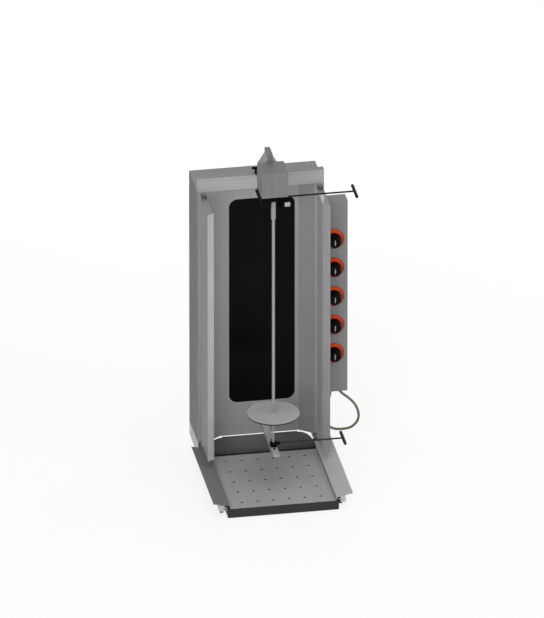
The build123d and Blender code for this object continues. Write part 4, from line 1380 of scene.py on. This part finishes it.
@dataclass
class DripTray(Assembly):
    """The sliding pan and its perforated plate."""

    columns: int = 6
    rows: int = 5
    pitch_x: float = 55.0 * MM
    pitch_y: float = 78.0 * MM
    hole_radius: float = 3.25 * MM
    bead: float = 0.6 * MM
    rim_width: float = 8.0 * MM
    fence_gap: float = 0.2 * MM
    fence_overlap: float = 0.5 * MM
    back_round: float = 60.0 * MM
    hem_lap: float = 0.4 * MM
    hem_rise: float = 3.0 * MM

    def build(self) -> None:
        """Dress the tray and add its fences, its hem and the hole rims."""
        low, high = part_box("drip_pan")
        rim_ends = Accent(RAIL, FRONT, beyond=(high.x - low.x) / 2 - self.rim_width)
        soften("drip_pan", TRAY, rim_ends)
        # The upstand is lighter than the pan: painted light in its shade
        soften("pan_back", TRAY_BACK)
        # The plate's steel is set lighter: painted light against the shade in the tray
        soften("perforated_plate", PERFORATED, edge=Edge.THIN)
        self.fences()
        self.hem()
        self.hole_rims()

    def hem(self) -> None:
        """The folded hem along the straight part of the upstand's top."""
        low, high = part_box("pan_back")
        xs = (low.x + self.back_round, high.x - self.back_round)
        ys = (low.y - self.hem_lap, high.y + self.hem_lap)
        fold = Fitting("pan_hem", TRAY_BACK, "drip_tray", "pan_steel")
        fold.extrude((0.0, 0.0, self.hem_rise), rectangle(xs, ys, high.z))

    def fences(self) -> None:
        """Upright strips on the pan's floor that close the gaps between the plate and the flaps."""
        low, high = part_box("perforated_plate")
        left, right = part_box("drip_flap_left")[1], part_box("drip_flap_right")[0]
        gaps = ((left.x + self.fence_gap, low.x - self.fence_gap),
                (high.x + self.fence_gap, right.x - self.fence_gap))
        outlines = [rectangle(xs, (low.y, high.y), low.z) for xs in gaps]
        rise = right.z + self.fence_overlap - low.z
        strips = Fitting("plate_fences", FLAP_DARK, "drip_tray", "pan_steel")
        strips.extrude((0.0, 0.0, rise), *outlines)

    def hole_rims(self) -> None:
        """Dark rims round the drain holes: painted shade that makes the holes read dark."""
        low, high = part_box("perforated_plate")
        left = (low.x + high.x - self.pitch_x * (self.columns - 1)) / 2
        front = (low.y + high.y - self.pitch_y * (self.rows - 1)) / 2
        rims = []
        for row in range(self.rows):
            start = (left, front + row * self.pitch_y, high.z)
            rims.append(self.fittings.rings.mesh(RIM, Count=self.columns, Start=start,
                                                 Step=(self.pitch_x, 0.0, 0.0), Bead=self.bead,
                                                 Radius=self.hole_radius + self.bead))
        Fitting("drain_rims", RIM, "tray_plate", "grey_steel").gather(*rims)


@dataclass
class FeedCable:
    """The cable that hangs in a loop beside the control box."""

    diameter: float = 9.0 * MM
    length: float = 487.5 * MM
    round_steps: int = 5
    run_steps: int = 10
    order: int = 3

    def route(self) -> list[Vector]:
        """The cable's points, in the frame of the solids.

        Returns:
            The points from one gland to the other.
        """
        zero = picture_zero()
        points = [
            (272, 25, 256), (272, 25, 238), (278, 26, 220), (291.5, 27, 203), (314, 28, 185),
            (335, 29, 160), (348, 30, 131), (350, 31, 101), (336.5, 31, 77.5), (313.5, 31, 64),
            (267.5, 31, 64.5), (244.5, 30, 78), (231, 29, 101), (231.5, 28, 128), (236, 27, 155),
            (242, 26, 182), (247.5, 25, 208), (250, 25, 233), (250, 25, 256),
        ]
        return [zero + Vector(point) * MM for point in points]

    def build(self) -> None:
        """Make the cable."""
        points = self.route()
        curve = bpy.data.curves.new("feed_cable_line", "CURVE")
        curve.dimensions = "3D"
        curve.bevel_depth = self.diameter / 2
        curve.bevel_resolution = self.round_steps
        curve.resolution_u = self.run_steps
        curve.use_fill_caps = True
        spline = curve.splines.new("NURBS")
        spline.points.add(len(points) - 1)
        for control, point in zip(spline.points, points):
            control.co = (*point, 1.0)
        spline.order_u = self.order
        spline.use_endpoint_u = True
        curve.materials.append(PALETTE[SHEATH])
        cable = link("feed_cable_line", curve)
        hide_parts("feed_cable")
        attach(cable, "cabinet")
        points[0]
        log.info("feed cable of %.3f m", self.length)


@dataclass(frozen=True)
class Lamp:
    """A soft square lamp that faces the grill."""

    name: str
    place: Triple
    size: float
    power: float
    mirrored: bool = True


@dataclass
class Studio:
    """The camera, the lamps, the pale floor and the white surround."""

    azimuth: float = -10.06
    elevation: float = 26.73
    view_height: float = 2.131
    shift_right: float = 0.0383
    shift_up: float = 0.5091
    lens: float = 1400.0
    sensor: float = 36.0
    middle_depth: float = 0.35
    clip_end: float = 500.0
    floor_size: float = 60.0
    floor_level: float = 0.9
    floor_shadow: float = 0.2
    fill: float = 0.5
    aim: Triple = (0.0, 0.0, 0.6)
    lamps: tuple[Lamp, ...] = (
        Lamp("key_lamp", (-1.7, -4.3, 2.2), 2.6, 118.0),
        Lamp("fill_lamp", (3.4, -3.2, 1.8), 2.6, 30.0),
        Lamp("back_lamp", (0.6, 4.6, 1.0), 2.0, 120.0, False),
        Lamp("side_lamp", (4.0, 3.4, 1.0), 2.0, 80.0, False),
        Lamp("top_lamp", (0.0, -0.8, 5.0), 3.0, 45.0, False),
    )

    def build(self) -> None:
        """Set up the studio."""
        self.camera()
        self.surround()
        self.floor()
        for lamp in self.lamps:
            self.hang(lamp)
        bpy.context.scene.view_settings.view_transform = "Standard"

    def face(self, piece: Piece, place: Vector, way: Vector) -> None:
        """Put a camera or a lamp at a place and turn it.

        Args:
            piece: The camera or lamp.
            place: Where it goes.
            way: The direction that it looks in.
        """
        piece.location = place
        piece.rotation_mode = "QUATERNION"
        piece.rotation_quaternion = way.to_track_quat("-Z", "Y")

    def camera(self) -> None:
        """A long lens at the photograph's viewing angle."""
        turn, rise = math.radians(self.azimuth), math.radians(self.elevation)
        level = math.cos(rise)
        back = Vector((math.sin(turn) * level, -math.cos(turn) * level, math.sin(rise)))
        right = Vector((math.cos(turn), math.sin(turn), 0.0))
        target = picture_zero() + right * self.shift_right + back.cross(right) * self.shift_up
        data = bpy.data.cameras.new("camera")
        data.lens = self.lens
        data.sensor_width = self.sensor
        data.clip_end = self.clip_end
        camera = link("camera", data)
        distance = self.view_height * self.lens / self.sensor + self.middle_depth
        self.face(camera, target + back * distance, -back)
        bpy.context.scene.camera = camera

    def seen(self, tree: Tree) -> Signal:
        """The rays that show the surround: from the camera, off gloss and through glass.

        Args:
            tree: The tree that needs to know.

        Returns:
            One for such rays and zero for others.
        """
        path = tree.node("LightPath")
        straight = tree.signal(path, "Is Camera Ray")
        gloss = tree.signal(path, "Is Glossy Ray")
        return straight.most(gloss).most(tree.signal(path, "Is Transmission Ray"))

    def surround(self) -> None:
        """White where it is seen, and a soft even light on the object."""
        world = bpy.data.worlds.new("surround")
        world.use_nodes = True
        tree = Tree(world.node_tree)
        background = tree.tree.nodes["Background"]
        background.inputs["Color"].default_value = shade(WHITE)
        tree.feed(background.inputs["Strength"], self.fill + (1.0 - self.fill) * self.seen(tree))
        bpy.context.scene.world = world

    def floor(self) -> None:
        """A pale floor that keeps the shadow."""
        half = self.floor_size / 2
        mesh = bpy.data.meshes.new("floor")
        corners = [(-half, -half, 0.0), (half, -half, 0.0), (half, half, 0.0), (-half, half, 0.0)]
        mesh.from_pydata(corners, [], [(0, 1, 2, 3)])
        tree = MaterialTree("floor_white")
        tree.paint(Base_Color=shade(WHITE, self.floor_level), Roughness=0.9, Specular_IOR_Level=0.0)
        glow = tree.node("Emission", Color=shade(WHITE), Strength=1.0)
        mixed = tree.tree.nodes.new("ShaderNodeMixShader")
        tree.feed(mixed.inputs[0], self.seen(tree) * (1.0 - self.floor_shadow))
        tree.feed(mixed.inputs[1], tree.surface)
        tree.feed(mixed.inputs[2], glow)
        tree.feed(tree.tree.nodes["Material Output"].inputs["Surface"], mixed)
        mesh.materials.append(tree.material)
        link("floor", mesh)

    def hang(self, lamp: Lamp) -> None:
        """Hang a lamp and turn it to the grill.

        Args:
            lamp: The lamp's place, size and power.
        """
        data = bpy.data.lights.new(lamp.name, "AREA")
        data.shape = "SQUARE"
        data.size = lamp.size
        data.energy = lamp.power
        hung = link(lamp.name, data)
        hung.visible_glossy = lamp.mirrored
        place = Vector(lamp.place)
        self.face(hung, place, Vector(self.aim) - place)


def main() -> None:
    """Build the grill's looks in order."""
    logging.basicConfig(level=logging.INFO, format="%(name)s: %(message)s")
    Studio().build()
    FeedCable().build()
    fittings = Fittings()
    for kind in (Cabinet, Burner, Doors, DriveHead, SpitTrain, ControlColumn, DripTray):
        kind(fittings).build()


if __name__ == "__main__":
    main()
